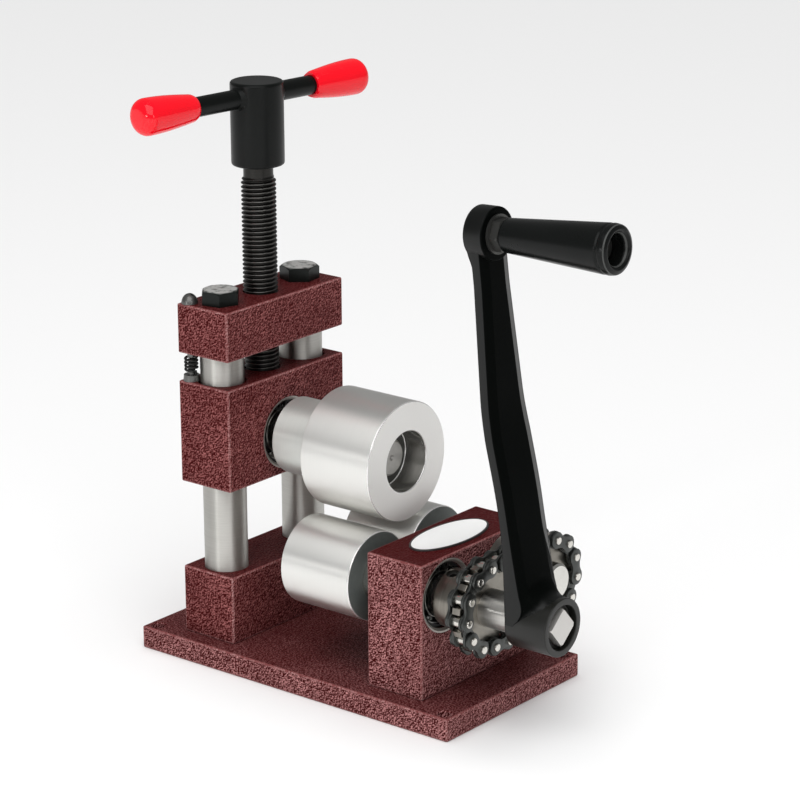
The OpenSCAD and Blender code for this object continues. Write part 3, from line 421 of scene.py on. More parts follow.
column_seat = 24.0
column_cuts = [
    bore((column_x, s * column_y, post_top), down, column_r + fit, column_seat, 0.4) for s in (-1, 1)
]
painted("post_block", "frame", *column_cuts)

screw_r = 8.0
bolt_r = 5.0
beam_cuts = [bore((column_x, 0, beam_top), down, screw_r + fit, through, 0.6)]
beam_cuts += [bore((column_x, s * column_y, beam_top), down, bolt_r + fit, through) for s in (-1, 1)]
painted("top_beam", "frame", *beam_cuts)

socket_depth = 11.0
bush_r = column_r + 1.2
carriage_l = carriage_high.z - carriage_low.z + overcut
carriage_cuts = [
    bore((column_x, s * column_y, carriage_high.z), down, bush_r, carriage_l, 0.3) for s in (-1, 1)
]
carriage_cuts += [bore((column_x, 0, carriage_high.z), down, screw_r + 0.3, socket_depth, 0.5)]
carriage_cuts += bearing_pockets(carriage_low, carriage_high, 0, upper_z)
painted("carriage_block", "carriage", *carriage_cuts, rims=[(0, upper_z)])

front_cuts = []
for s in (-1, 1):
    front_cuts += bearing_pockets(front_low, front_high, s * lower_y, lower_z)
lower_rims = [(-lower_y, lower_z), (lower_y, lower_z)]
painted("front_block", "frame", *front_cuts, rims=lower_rims, finish=front_block_lit_paint)

# Guide columns, shafts, sleeves and bearings.
# Ground steel bar: the columns and shafts show fine grinding rings around them, and the bearing
# rings and balls are polished. The sleeves hold rollers, bearings and sprockets apart on the shafts.
steel_pale = (0.80, 0.79, 0.75, 1)
steel_deep = (0.58, 0.57, 0.535, 1)

# Machining marks: fine rings square to the work's axis, broken up by noise stretched around it.
marks, group_in, group_out = node_group(
    "Machining marks", [("Along X", 0.0), ("Along Y", 0.0), ("Along Z", 0.0)], ["Tone", "Height"]
)
place = add(marks, "TexCoord")
ways = add(marks, "CombineXYZ")
stretch = add(marks, "VectorMath", operation="MULTIPLY")
fine = add(marks, "TexNoise", sockets={"Scale": 1.0, "Detail": 3.0, "Roughness": 0.65})
broad = add(marks, "TexNoise", sockets={"Scale": 60.0, "Detail": 2.0})
both = add(marks, "Mix", data_type="FLOAT")
both.inputs["Factor"].default_value = 0.3
wire(
    marks,
    (group_in, "Along X", ways, "X"),
    (group_in, "Along Y", ways, "Y"),
    (group_in, "Along Z", ways, "Z"),
    (place, "Object", stretch, 0),
    (ways, "Vector", stretch, 1),
    (stretch, "Vector", fine, "Vector"),
    (place, "Object", broad, "Vector"),
    (fine, "Fac", both, "A"),
    (broad, "Fac", both, "B"),
    (both, "Result", group_out, "Tone"),
    (fine, "Fac", group_out, "Height"),
)


def machined(name, pale, deep, rough, depth, count, metal=1.0, vary=0.07, lay=None):
    """Metal with counts of machining marks along X, Y and Z, cut around the lay axis if one is given."""
    made, tree, shader = material(name, pale, rough, metal)
    if lay:
        around = add(tree, "Tangent", direction_type="RADIAL", axis=lay)
        tree.links.new(around.outputs["Tangent"], shader.inputs["Tangent"])
        shader.inputs["Anisotropic"].default_value = 0.9
        shader.inputs["Anisotropic Rotation"].default_value = 0.25
    cutting = use_group(tree, marks, Along_X=count[0], Along_Y=count[1], Along_Z=count[2])
    two_tone(shader, cutting.outputs["Tone"], deep, pale)
    spread(shader, cutting.outputs["Tone"], rough + vary, rough - vary)
    relief(shader, cutting.outputs["Height"], depth)
    return made


ring_marks = 2600.0
ground_z = machined("Ground columns", steel_pale, steel_deep, 0.52, 0.0006, (60, 60, ring_marks), lay="Z")
ground_x = machined("Ground shafts", steel_pale, steel_deep, 0.24, 0.0012, (ring_marks, 60, 60))
polished = machined(
    "Polished rings", (0.36, 0.355, 0.34, 1), (0.26, 0.255, 0.245, 1), 0.28, 0.0005, (600, 0, 0)
)
sawn_end = machined(
    "Dull shaft end", (0.50, 0.49, 0.465, 1), (0.36, 0.35, 0.335, 1), 0.45, 0.003, (0, 500, 500), 0.7
)
satin_square = machined(
    "Satin drive shaft", (0.70, 0.685, 0.66, 1), (0.56, 0.545, 0.52, 1), 0.36, 0.0015,
    (ring_marks, 60, 60), 0.55,
)
ground_drive = machined(
    "Ground drive shaft", (0.86, 0.845, 0.81, 1), (0.50, 0.485, 0.455, 1), 0.30, 0.002,
    (900, 60, 60), 1.0, 0.06, "X",
)
blackened = machined(
    "Blackened steel", (0.030, 0.030, 0.029, 1), (0.016, 0.0165, 0.016, 1), 0.50, 0.001, (500, 0, 0), 0.6
)

for node, side in (("near_column", -1), ("far_column", 1)):
    length = column_high.z - column_low.z
    column = turned(rod(length, column_r, 0.8), (column_x, side * column_y, column_low.z), up)
    settle(build("ground_" + node, column), "frame", ground_z, node)

finishes = {
    ground_x: ["driven_shaft", "upper_spacer", "drive_spacers", "driven_spacers"],
    sawn_end: ["upper_shaft"],
    satin_square: ["drive_shaft"],
    polished: [
        "block_outer_races", "block_balls", "carriage_outer_races", "carriage_balls",
        "upper_inner_races", "drive_inner_races", "driven_inner_races",
    ],
    blackened: [
        "base_screws", "block_circlips", "carriage_circlips", "upper_shaft_clip", "upper_key", "drive_key",
        "driven_key", "drive_set_screw", "driven_set_screw", "handle_grub_screw",
    ],
}


def coat(node, finish):
    """Gives a CAD node that shows as it is its finish."""
    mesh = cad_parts[node].data
    mesh.materials.clear()
    mesh.materials.append(finish)


for finish, nodes in finishes.items():
    for node in nodes:
        coat(node, finish)

# The round part of the drive shaft is ground like the rollers.
drive_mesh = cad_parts["drive_shaft"].data
drive_mesh.materials.append(ground_drive)
square_l = 21.5
square_from = cad_box("drive_shaft")[1].x - square_l
for face in drive_mesh.polygons:
    face.material_index = int(face.center.x / mm < square_from)

# Guide bushes and thrust pad.
# Cast bearing bronze, turned to size: the bushes are pressed into the carriage and the pad lies
# under the foot of the lead screw.
bronze = machined("Bearing bronze", (0.58, 0.38, 0.17, 1), (0.42, 0.26, 0.11, 1), 0.34, 0.004, (0, 0, 700))
for node in ("column_bushes", "thrust_pad"):
    coat(node, bronze)

# Hexagon bolts over the columns.
# Forged and blackened steel bolts. The head has a turned chamfer that leaves a round flat on top,
# coloured brighter: partly wear from the spanner, partly a painted reflection of the light above.
bolt_af = 16.0
bolt_head = beam_top
bolt_height = cad_box("column_bolts")[1].z - bolt_head
bolt_colour = (0.006, 0.0085, 0.0075, 1)
# Top colour: partly wear, partly a painted reflection.
bolt_top_reflection_and_wear = (0.52, 0.52, 0.50, 1)


def loft(rings):
    """Closed skin over a list of rings of points in millimetres."""
    bm = bmesh.new()
    made = [[bm.verts.new(p * mm) for p in ring] for ring in rings]
    for a, b in zip(made, made[1:]):
        for i in range(len(a)):
            j = (i + 1) % len(a)
            bm.faces.new((a[i], a[j], b[j], b[i]))
    bm.faces.new(made[0][::-1])
    bm.faces.new(made[-1])
    bmesh.ops.recalc_face_normals(bm, faces=bm.faces[:])
    return bm


def hexagon(centre, across, height, turn, crown=0.25):
    """Hexagon head along +Z with a chamfered crown and a slightly dished top."""
    steps = 72
    round_r = across / 2 * 0.95
    rings = [[], [], [], [], []]
    for i in range(steps):
        a = 2 * math.pi * i / steps
        inside = (a % (math.pi / 3)) - math.pi / 6
        hex_r = across / 2 / math.cos(inside)
        drop = max(0, hex_r - round_r) * math.tan(math.radians(30))
        way = Vector((math.cos(a + turn), math.sin(a + turn), 0))
        radii = (hex_r, hex_r, round_r, round_r * 0.86, round_r * 0.2)
        heights = (0, height - drop, height, height + crown * 0.4, height + crown * 0.3)
        for ring, radius, z in zip(rings, radii, heights):
            ring.append(Vector(centre) + way * radius + Vector((0, 0, z)))
    return loft(rings)


# Top coloured bright where the surface faces up, broken up by scuffs: partly wear, partly a painted
# reflection.
bolt_black, tree, shader = material("Blackened bolts", bolt_colour, 0.34, 0.3, Specular_IOR_Level=0.3)
facing = add(tree, "NewGeometry")
split = add(tree, "SeparateXYZ")
upward = smooth_range(tree, 0.90, 0.99)
scuff = add(tree, "TexNoise", sockets={"Scale": 320.0, "Detail": 4.0, "Roughness": 0.6})
bare = smooth_range(tree, 0.30, 0.55)
spot = add(tree, "TexCoord")
top_reflection_and_wear = add(tree, "Math", operation="MULTIPLY")
wire(
    tree,
    (facing, "Normal", split, "Vector"),
    (split, "Z", upward, "Value"),
    (spot, "Object", scuff, "Vector"),
    (scuff, "Fac", bare, "Value"),
    (upward, "Result", top_reflection_and_wear, 0),
    (bare, "Result", top_reflection_and_wear, 1),
)
two_tone(shader, top_reflection_and_wear.outputs["Value"], bolt_colour, bolt_top_reflection_and_wear)
relief(shader, scuff.outputs["Fac"], 0.01)

heads = []
for side, turn in ((-1, 9), (1, 39)):
    heads.append(hexagon((column_x, side * column_y, bolt_head), bolt_af, bolt_height, math.radians(turn)))
    heads.append(turned(rod(through, bolt_r), (column_x, side * column_y, bolt_head - through), up, 48))
settle(build("hexagon_bolts", *heads), "frame", bolt_black, "column_bolts", smooth=25)

# Return springs with their screws and studs.
# Hard drawn wire wound open, held between a round-headed screw through the beam and a stud with a
# collar on the carriage. They lift the carriage when the screw is backed off.
spring_low, spring_high = cad_box("return_springs")
screws_low, screws_high = cad_box("spring_screws")
wire_r = 0.6
curls = 4
curl_steps = 24
head_r = 3.8
tip_r = 1.75
tip_l = 10.0
slot_half = 0.5
slot_half_l = head_r + 1.2
slot_depth = 1.3
spring_x = (spring_low.x + spring_high.x) / 2
spring_y = screws_high.y - head_r
coil_r = (spring_high.x - spring_low.x) / 2 - wire_r
leg = 1.5 * 2 * wire_r


def tube(points, radius, sides=10):
    """Round wire along a list of points."""
    rings = []
    side = Vector((0, 1, 0.01))
    last = len(points) - 1
    for i, point in enumerate(points):
        heading = (points[min(i + 1, last)] - points[max(i - 1, 0)]).normalized()
        side = (side - heading * side.dot(heading)).normalized()
        rings.append(circle(point, side, heading.cross(side), radius, sides))
    return loft(rings)


wires = []
for side in (-1, 1):
    axis = Vector((spring_x, side * spring_y, 0))
    top = spring_high.z - leg
    rise = top - spring_low.z - leg
    line = [axis + Vector((coil_r, 0, spring_high.z)), axis + Vector((coil_r, 0, spring_high.z - leg / 2))]
    for i in range(curls * curl_steps + 1):
        t = i / curl_steps
        a = 2 * math.pi * t
        line.append(axis + Vector((coil_r * math.cos(a), coil_r * math.sin(a), top - rise * t / curls)))
    line += [axis + Vector((coil_r, 0, spring_low.z + leg / 2)), axis + Vector((coil_r, 0, spring_low.z))]
    wires.append(tube(line, wire_r))
springs = build("wound_return_springs", *wires)
settle(springs, None, blackened, "return_springs")
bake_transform(springs)

spring_steel = machined(
    "Dull spring fittings", (0.22, 0.218, 0.21, 1), (0.10, 0.10, 0.097, 1), 0.36, 0.003, (0, 0, 400), 0.85
)
head_h = screws_high.z - beam_top
screw_forms = []
for side in (-1, 1):
    dome = [(head_h * math.sin(a), head_r * math.cos(a)) for a in [i * math.pi / 16 for i in range(9)]]
    dome[-1] = (head_h, 0)
    screw_forms.append(turned([(0, 0)] + dome, (spring_x, side * spring_y, beam_top), up, 48))
    screw_forms.append(turned(rod(tip_l, tip_r, 0.4), (spring_x, side * spring_y, screws_low.z), up, 32))
spring_screws = build("round_spring_screws", *screw_forms)
slots = []
for side in (-1, 1):
    slot_mid = Vector((spring_x, side * spring_y, screws_high.z))
    slot_low = slot_mid - Vector((slot_half_l, slot_half, slot_depth))
    slots.append(rounded_block(slot_low, slot_mid + Vector((slot_half_l, slot_half, overcut)), 0.1))
carve(spring_screws, *slots)
settle(spring_screws, "frame", spring_steel, "spring_screws")
coat("spring_studs", spring_steel)

# Upper roller and the two lower rollers.
# Turned and ground steel drums. The free faces are bored out to a recess in which the end of the
# shaft shows, and the upper one has a neck that carries it clear of the carriage.
roller_low, roller_high = cad_box("upper_roller")
lower_low, lower_high = cad_box("drive_roller")
neck_r = 17.75
recess_r = 14.0
recess_depth = 12.0
bore_r = shaft_r + 0.02
roller_ease = 0.7
roller_steel = machined(
    "Turned rollers", (0.93, 0.925, 0.895, 1), (0.88, 0.875, 0.845, 1), 0.46, 0.0002,
    (1900, 26, 26), 0.90, 0.015, "X",
)
neck_steel = machined(
    "Satin neck", (0.86, 0.88, 0.845, 1), (0.78, 0.80, 0.765, 1), 0.52, 0.0003,
    (1500, 20, 20), 0.80, 0.03, "X",
)
faced_steel = machined(
    "Faced roller end", (0.88, 0.87, 0.845, 1), (0.84, 0.83, 0.805, 1), 0.46, 0.002, (300, 0, 0), 0.4, 0.03
)
recess_steel = machined(
    "Bored recess", (0.78, 0.77, 0.735, 1), (0.42, 0.415, 0.40, 1), 0.26, 0.004,
    (700, 200, 200), 1.0, 0.05, "X",
)
# The floor of the recess is coloured dark: painted shade.
recess_floor_shade = machined(
    "Recess floor with painted shade", (0.16, 0.158, 0.15, 1), (0.07, 0.07, 0.067, 1), 0.50, 0.004, (0, 300, 300), 0.8
)
rim_bright = machined(
    "Bright roller rims", (0.96, 0.955, 0.94, 1), (0.88, 0.875, 0.86, 1), 0.22, 0.0005, (300, 0, 0), 0.7, 0.03
)
upper_r = (roller_high.z - roller_low.z) / 2
lower_r = (lower_high.z - lower_low.z) / 2
roller_back = lower_low.x
roller_front = roller_high.x
length = roller_front - roller_low.x
drum = roller_back - roller_low.x
profile = eased(
    [
        (0, bore_r), (0, neck_r), (drum, neck_r), (drum, upper_r), (length, upper_r),
        (length, recess_r), (length - recess_depth, recess_r), (length - recess_depth, bore_r),
        (0, bore_r),
    ],
    roller_ease,
)[:-1]
upper = build("turned_upper_roller", turned(profile, (roller_low.x, 0, upper_z), ahead, 128, closed=True))
upper_finishes = (faced_steel, recess_steel, neck_steel, rim_bright, recess_floor_shade)
settle(upper, "upper_roller", roller_steel, "upper_roller", also=upper_finishes)
for face in upper.data.polygons:
    out = math.hypot(face.center.y, face.center.z - upper_z * mm) / mm
    if 0.2 < face.normal.x < 0.95 and (out > upper_r - roller_ease or abs(out - recess_r) < roller_ease):
        face.material_index = 4
    elif face.normal.x > 0.9 and out > recess_r:
        face.material_index = 1
    elif out < recess_r + 0.1 and face.center.x > (roller_front - recess_depth - 0.5) * mm:
        face.material_index = 5 if face.normal.x > 0.9 else 2
    elif face.center.x < roller_back * mm and out < neck_r + 0.1:
        face.material_index = 3

# The inner faces of the lower rollers are coloured dark: painted shade from the bearing block that stands
# close to them.
inner_shade_deep = (0.115, 0.132, 0.126, 1)
inner_shade_pale = (0.180, 0.198, 0.190, 1)
inner_face_shade, tree, shader = material("Inner faces with painted shade", inner_shade_deep, 0.55, 0.4)
cutting = use_group(tree, marks, Along_X=60, Along_Y=300, Along_Z=300)
two_tone(shader, cutting.outputs["Tone"], inner_shade_deep, inner_shade_pale)
for node, body, side in (("drive_roller", "drive_line", -1), ("driven_roller", "driven_line", 1)):
    length = roller_front - roller_back
    profile = eased(
        [
            (recess_depth, bore_r), (recess_depth, recess_r), (0, recess_r), (0, lower_r),
            (length, lower_r), (length, bore_r), (recess_depth, bore_r),
        ],
        roller_ease,
    )[:-1]
    drum_form = turned(profile, (roller_back, side * lower_y, lower_z), ahead, 128, closed=True)
    lower = build("turned_" + node, drum_form)
    settle(lower, body, roller_steel, node, also=(inner_face_shade, rim_bright))
    for face in lower.data.polygons:
        if face.normal.x > 0.2:
            face.material_index = 1 if face.normal.x > 0.95 else 2

# Sprockets.
# Flame cut and turned steel: a toothed plate on a round hub with a tapped hole for its set screw.
# Plate and hub are oily all over.
teeth = 12
chain_pitch = 9.525
chain_x = sum(corner.x for corner in cad_box("chain_pins")) / 2
pitch_r = chain_pitch / (2 * math.sin(math.pi / teeth))
link_roller_r = 2.54
valley_r = link_roller_r + 0.3
tip_r = chain_pitch * (0.6 + 1 / math.tan(math.pi / teeth)) / 2
flank = math.tan(math.radians(30))
plate_half = 2.135
hub_r = 13.2
chain_phase = 5
tooth_ease = 0.35
set_turn = math.radians(104)
set_inset = 3.6
set_hole_r = 3.0
sprocket_steel = machined(
    "Oiled sprockets", (0.36, 0.34, 0.30, 1), (0.12, 0.11, 0.095, 1), 0.30, 0.004, (900, 90, 90)
)


def extruded(outline, x0, x1, ease, place_at):
    """Plate of an outline in Y and Z from x0 to x1 with eased rims, moved by a matrix in millimetres."""
    bm = bmesh.new()
    face = bm.faces.new([bm.verts.new((x0, y, z)) for y, z in outline])
    moved = bmesh.ops.extrude_face_region(bm, geom=[face])
    lifted = [v for v in moved["geom"] if isinstance(v, bmesh.types.BMVert)]
    bmesh.ops.translate(bm, verts=lifted, vec=(x1 - x0, 0, 0))
    bmesh.ops.recalc_face_normals(bm, faces=bm.faces[:])
    rims = [e for e in bm.edges if abs(e.verts[0].co.x - e.verts[1].co.x) < 1e-6]
    bmesh.ops.bevel(bm, geom=rims, offset=ease, segments=2, profile=0.5, affect="EDGES")
    bmesh.ops.transform(bm, matrix=Matrix.Scale(mm, 4) @ place_at, verts=bm.verts[:])
    return bm


def sprocket_outline(phase):
    """Tooth gaps as arcs opened by straight flanks, joined over the tips."""
    points = []
    for i in range(teeth):
        turn = math.radians(phase) + 2 * math.pi * i / teeth
        reach = tip_r - pitch_r
        local = [(reach, -valley_r - reach * flank)]
        for k in range(9):
            a = math.radians(-90 - k * 180 / 8)
            local.append((valley_r * math.cos(a), valley_r * math.sin(a)))
        local.append((reach, valley_r + reach * flank))
        for x, y in local:
            r = pitch_r + x
            points.append((r * math.cos(turn) - y * math.sin(turn), r * math.sin(turn) + y * math.cos(turn)))
    return points


for node, body, side, phase in (
    ("drive_sprocket", "drive_line", -1, 90 + chain_phase),
    ("driven_sprocket", "driven_line", 1, 105 + chain_phase),
):
    at = Matrix.Translation((chain_x, side * lower_y, lower_z))
    plate = extruded(sprocket_outline(phase), -plate_half, plate_half, tooth_ease, at)
    hub_back = cad_box(node)[0].x
    hub_l = chain_x - plate_half - hub_back
    hub = turned(rod(hub_l, hub_r, 0.8), (hub_back, side * lower_y, lower_z), ahead)
    wheel = build("toothed_" + node, plate, hub)
    outward = Vector((0, math.cos(set_turn), math.sin(set_turn)))
    centre = Vector((hub_back + set_inset, side * lower_y, lower_z))
    carve(wheel, bore(centre + outward * (hub_r + 0.3), -outward, set_hole_r, hub_r - shaft_r, 0.6))
    settle(wheel, body, sprocket_steel, node)

# Roller chain.
# Pressed plates with drawn-in waists, riveted pins and loose rollers, running around both sprockets.
# The number of pitches is odd, so one link is cranked from the inner to the outer width.
span_pitches = 4.5
links = 21
plate_t = 1.25
inner_x = 2.385
outer_x = inner_x + plate_t + 0.12
pin_r = 1.79
inner_link = (4.1, 2.75)
outer_link = (3.9, 2.6)
link_ease = 0.18
roller_half = inner_x - 0.08
roller_bore = pin_r + 0.05
pin_half = outer_x + plate_t + 1
chain_start = 13 - chain_phase * teeth / 360


def pin_place(i):
    """Place of pin i on the chain's path, in Y and Z about the middle of the drive."""
    s = (chain_start + i) % links
    wrap = teeth / 2
    step = 2 * math.pi / teeth
    if s < span_pitches:
        return Vector((-lower_y + s * chain_pitch, pitch_r))
    if s < span_pitches + wrap:
        a = math.pi / 2 - (s - span_pitches) * step
        return Vector((lower_y + pitch_r * math.cos(a), pitch_r * math.sin(a)))
    if s < 2 * span_pitches + wrap:
        return Vector((lower_y - (s - span_pitches - wrap) * chain_pitch, -pitch_r))
    a = 1.5 * math.pi - (s - 2 * span_pitches - wrap) * step
    return Vector((-lower_y + pitch_r * math.cos(a), pitch_r * math.sin(a)))


def link_frame(i):
    """Matrix that takes a link drawn from the origin along +Y to link i."""
    a = pin_place(i)
    way = pin_place(i + 1) - a
    turn = Matrix.Rotation(math.atan2(way.y, way.x), 4, "X")
    return Matrix.Translation((chain_x, a.x, lower_z + a.y)) @ turn


def link_outline(radius, waist):
    """Link plate: round ends drawn in to a waist by a parabola."""
    open_at = math.radians(60)
    points = []
    for end, first in ((0, open_at), (chain_pitch, open_at + math.pi)):
        for k in range(13):
            a = first + (2 * math.pi - 2 * open_at) * k / 12
            points.append((end + radius * math.cos(a), radius * math.sin(a)))
        edge_y = radius * math.cos(open_at)
        edge_z = radius * math.sin(open_at)
        for k in range(1, 6):
            t = k / 6
            dip = (edge_z - waist) * 4 * t * (1 - t)
            y = edge_y + (chain_pitch - 2 * edge_y) * t
            points.append((y, -edge_z + dip) if end == 0 else (chain_pitch - y, edge_z - dip))
    return points


chain_steel = machined(
    "Oiled chain plates", (0.100, 0.104, 0.100, 1), (0.040, 0.043, 0.041, 1), 0.34, 0.01,
    (300, 500, 500), 0.85,
)
pin_steel = machined(
    "Bright chain pins", (0.86, 0.84, 0.79, 1), (0.50, 0.48, 0.44, 1), 0.20, 0.004, (800, 200, 200)
)

inner_plates = []
outer_plates = []
rollers = []
pins = []
for i in range(links):
    at = link_frame(i)
    if i < links - 1:
        inner = i % 2 == 0
        near = inner_x if inner else outer_x
        outline = link_outline(*(inner_link if inner else outer_link))
        store = inner_plates if inner else outer_plates
        for x0 in (near, -near - plate_t):
            store.append(extruded(outline, x0, x0 + plate_t, link_ease, at))
    spot = at.translation
    roller_l = 2 * roller_half
    barrel = [(0, link_roller_r), (roller_l, link_roller_r), (roller_l, roller_bore), (0, roller_bore)]
    barrel = eased([(0, roller_bore), *barrel], 0.3)[:-1]
    rollers.append(turned(barrel, spot - Vector((roller_half, 0, 0)), ahead, 32, closed=True))
    pins.append(turned(rod(2 * pin_half, pin_r, 0.45), spot - Vector((pin_half, 0, 0)), ahead, 24))

for name, forms, finish, slot in (
    ("chain_inner_plates", inner_plates, chain_steel, "chain_steel"),
    ("chain_outer_plates", outer_plates, chain_steel, "chain_steel"),
    ("chain_rollers", rollers, pin_steel, "pin_steel"),
    ("chain_pins", pins, pin_steel, "pin_steel"),
):
    settle(build("riveted_" + name, *forms), "frame", finish, name)
coat("chain_offset_link", chain_steel)

# Blank oval plate on the bearing block.
# Thin aluminium stamping, printed white with a dark line around its rim and stuck down.
plate_low, plate_high = cad_box("name_plate")
plate_mid = (plate_low + plate_high) / 2
plate_a = (plate_high.x - plate_low.x) / 2
plate_b = (plate_high.y - plate_low.y) / 2
# Wall, rounded rim and printed face of the plate, as insets and heights.
plate_edge = ((0, 0), (0, 0.55), (0.25, 0.8), (0.75, 0.8), (1.0, 0.72))
plate_steps = 96


def mottled(name, deep, pale, patch, grain, rough, depth, gloss, strength=1.0):
    """Paint or plastic: patches of two tones over a grain, each given as a noise's scale and detail."""
    made, tree, shader = material(name, deep, rough[0], Specular_IOR_Level=gloss)
    spot = add(tree, "TexCoord")
    patches = add(tree, "TexNoise", sockets={"Scale": patch[0], "Detail": patch[1]})
    grains = add(tree, "TexNoise", sockets={"Scale": grain[0], "Detail": grain[1]})
    wire(tree, (spot, "Object", patches, "Vector"), (spot, "Object", grains, "Vector"))
    two_tone(shader, patches.outputs["Fac"], deep, pale)
    spread(shader, patches.outputs["Fac"], *rough)
    relief(shader, grains.outputs["Fac"], depth, strength)
    return made


print_grain = (900.0, 3.0)
plate_white = mottled(
    "White print", (0.91, 0.91, 0.90, 1), (0.95, 0.95, 0.94, 1), print_grain, print_grain,
    (0.32, 0.32), 0.004, 0.5,
)
plate_rim, tree, shader = material("Dark printed line", (0.02, 0.018, 0.018, 1), 0.4)
mottle = add(tree, "TexNoise", sockets={"Scale": 700.0, "Detail": 2.0})
two_tone(shader, mottle.outputs["Fac"], (0.014, 0.013, 0.013, 1), (0.035, 0.03, 0.03, 1))
angles = [2 * math.pi * i / plate_steps for i in range(plate_steps)]
rings = []
for inset, z in plate_edge:
    middle = Vector((plate_mid.x, plate_mid.y, plate_low.z + z))
    along = Vector((plate_a - inset, 0, 0))
    across = Vector((0, plate_b - inset, 0))
    rings.append([middle + along * math.cos(a) + across * math.sin(a) for a in angles])
oval = build("blank_oval_plate", loft(rings))
settle(oval, "frame", plate_rim, "name_plate", smooth=50, also=(plate_white,))
for face in oval.data.polygons:
    face.material_index = int(len(face.vertices) > 4 and face.normal.z > 0.5)

# Crank arm.
# Forged steel, ground and sprayed black. The arm bends back from the shaft, runs out into the hub over a
# shallow ramp and a small fillet, and ends in a round eye for the spindle of the grip.
lean = math.radians(3)
rake = math.radians(2.7)
slope = math.radians(4.2)
crank_r = 170.0
hub_half = 13.0
hub_front = cad_box("drive_shaft")[1].x
hub_back = hub_front - square_l
hub_sides = 96
hub_recess = 4.0
hub_recess_r = 10.0
arm_t = 6.0
arm_mid = hub_back + arm_t / 2
eye_x = arm_mid - 15.2
eye_r = 11.5
eye_half = 5.0
fillet_r = 7.0
ramp_r = 52.0
ramp_rise = 5.5
bevel_w = 4.6
edge_fall = 1.5
arm_round = 0.7
flat_steps = 40
bevel_steps = 6
bevel_from = 18.0
bevel_l = 24.0
bend_from = 25.0
bend_l = 76.0
taper_from = 82.0
taper_l = 66.0
taper_in = 3.6
foot_l = 15.0
eye_swell = 2.0
swell_from = 156.0
swell_l = 8.0
fine_step = 0.45
fine_rows = 60
row_step = 2.05
rows_from = 28.0
black_deep = (0.0020, 0.0026, 0.0023, 1)

peel_depth = 0.012
orange_peel = (900.0, 2.0)
hand_worn = (45.0, 3.0)
spray_rough = (0.40, 0.28)
# The hub and the bevels of the arm get a lighter, glossier copy of the black: painted highlight where they
# catch the light.
highlight_black = mottled(
    "Black with painted highlight", (0.0065, 0.0068, 0.0056, 1), (0.0110, 0.0112, 0.0095, 1),
    hand_worn, orange_peel, spray_rough, peel_depth, 0.42,
)

# Arm black: the same spray, left dull on the broad faces and polished by hands on the narrow sides.
black_arm, tree, shader = material(
    "Sprayed black arm", black_deep, 0.5, Specular_IOR_Level=0.02, Coat_Roughness=0.34
)
peel = add(tree, "TexNoise", sockets={"Scale": 900.0, "Detail": 2.0})
spot = add(tree, "TexCoord")
facing = add(tree, "NewGeometry")
split = add(tree, "SeparateXYZ")
broad = add(tree, "Math", operation="ABSOLUTE")
polish = smooth_range(tree, 0.60, 0.20, 0.0, 0.65)
wire(
    tree,
    (spot, "Object", peel, "Vector"),
    (facing, "Normal", split, "Vector"),
    (split, "X", broad, 0),
    (broad, "Value", polish, "Value"),
    (polish, "Result", shader, "Coat Weight"),
)
two_tone(shader, peel.outputs["Fac"], (0.0010, 0.0014, 0.0012, 1), black_deep)
spread(shader, peel.outputs["Fac"], 0.56, 0.44)
relief(shader, peel.outputs["Fac"], peel_depth)

crank_turn = Matrix.Translation((0, -lower_y, lower_z)) @ Matrix.Rotation(lean, 4, "X")


def smoothstep(t):
    """Smooth rise from 0 to 1 while t does the same."""
    t = max(0.0, min(1.0, t))
    return t * t * (3 - 2 * t)


def arm_x(u):
    """Middle of the arm along X at height u above the shaft."""
    top = eye_x + (crank_r - u) * math.tan(slope)
    return arm_mid + smoothstep((u - bend_from) / bend_l) * (top - arm_mid)


def arm_half(u):
    """Half the width of the arm at height u above the shaft."""
    taper = max(0, min(1, (u - taper_from) / taper_l))
    return hub_half + 0.1 * smoothstep((u - bevel_from) / (taper_from - bevel_from)) - taper_in * taper


def flare(y, u):
    """How far the hollow flare around the hub stands proud of the front of the arm."""
    out = math.hypot(y, u)
    ramp = ramp_rise * max(0.0, (ramp_r - out) / (ramp_r - hub_half)) ** 2
    gap = max(0.0, min(hub_half + fillet_r - out, fillet_r))
    curl = 1 - math.sqrt(1 - (gap / fillet_r) ** 2)
    step = hub_front - hub_back - arm_t - 0.4
    return min(ramp + curl * (step - ramp_rise), step) * smoothstep(u / foot_l)


def fall(y, half):
    """How far the crowned front of the arm falls away towards its edges."""
    return edge_fall * max(0.0, (abs(y) - half + bevel_w) / bevel_w)


def arm_section(u):
    """Section of the arm in X and Y at height u: rounded corners, and a front that follows the flare.

    The front is drawn first, from -Y to +Y, and its last steps are the bevel on the +Y side.
    """
    half = arm_half(u)
    back = arm_x(u) - arm_t / 2 - eye_swell * smoothstep((u - swell_from) / swell_l)
    front = arm_x(u) + arm_t / 2
    inner = half - arm_round
    bevel = half - max(arm_round + 0.3, bevel_w * smoothstep((u - bevel_from) / bevel_l))
    across = [bevel * (2 * k / flat_steps - 1) for k in range(flat_steps)]
    edge = [bevel + (inner - bevel) * k / bevel_steps for k in range(bevel_steps)]
    across = [-y for y in reversed(edge[1:])] + across + edge
    points = [(front + flare(y, u) - fall(y, half), y) for y in across]
    corner_x = front + flare(inner, u) - fall(inner, half) - arm_round
    for cx, cy, first in (
        (corner_x, inner, 0), (back + arm_round, inner, 90),
        (back + arm_round, -inner, 180), (corner_x, -inner, 270),
    ):
        arc = [math.radians(first + k * 18) for k in range(6)]
        points += [(cx + arm_round * math.cos(a), cy + arm_round * math.sin(a)) for a in arc]
    return points


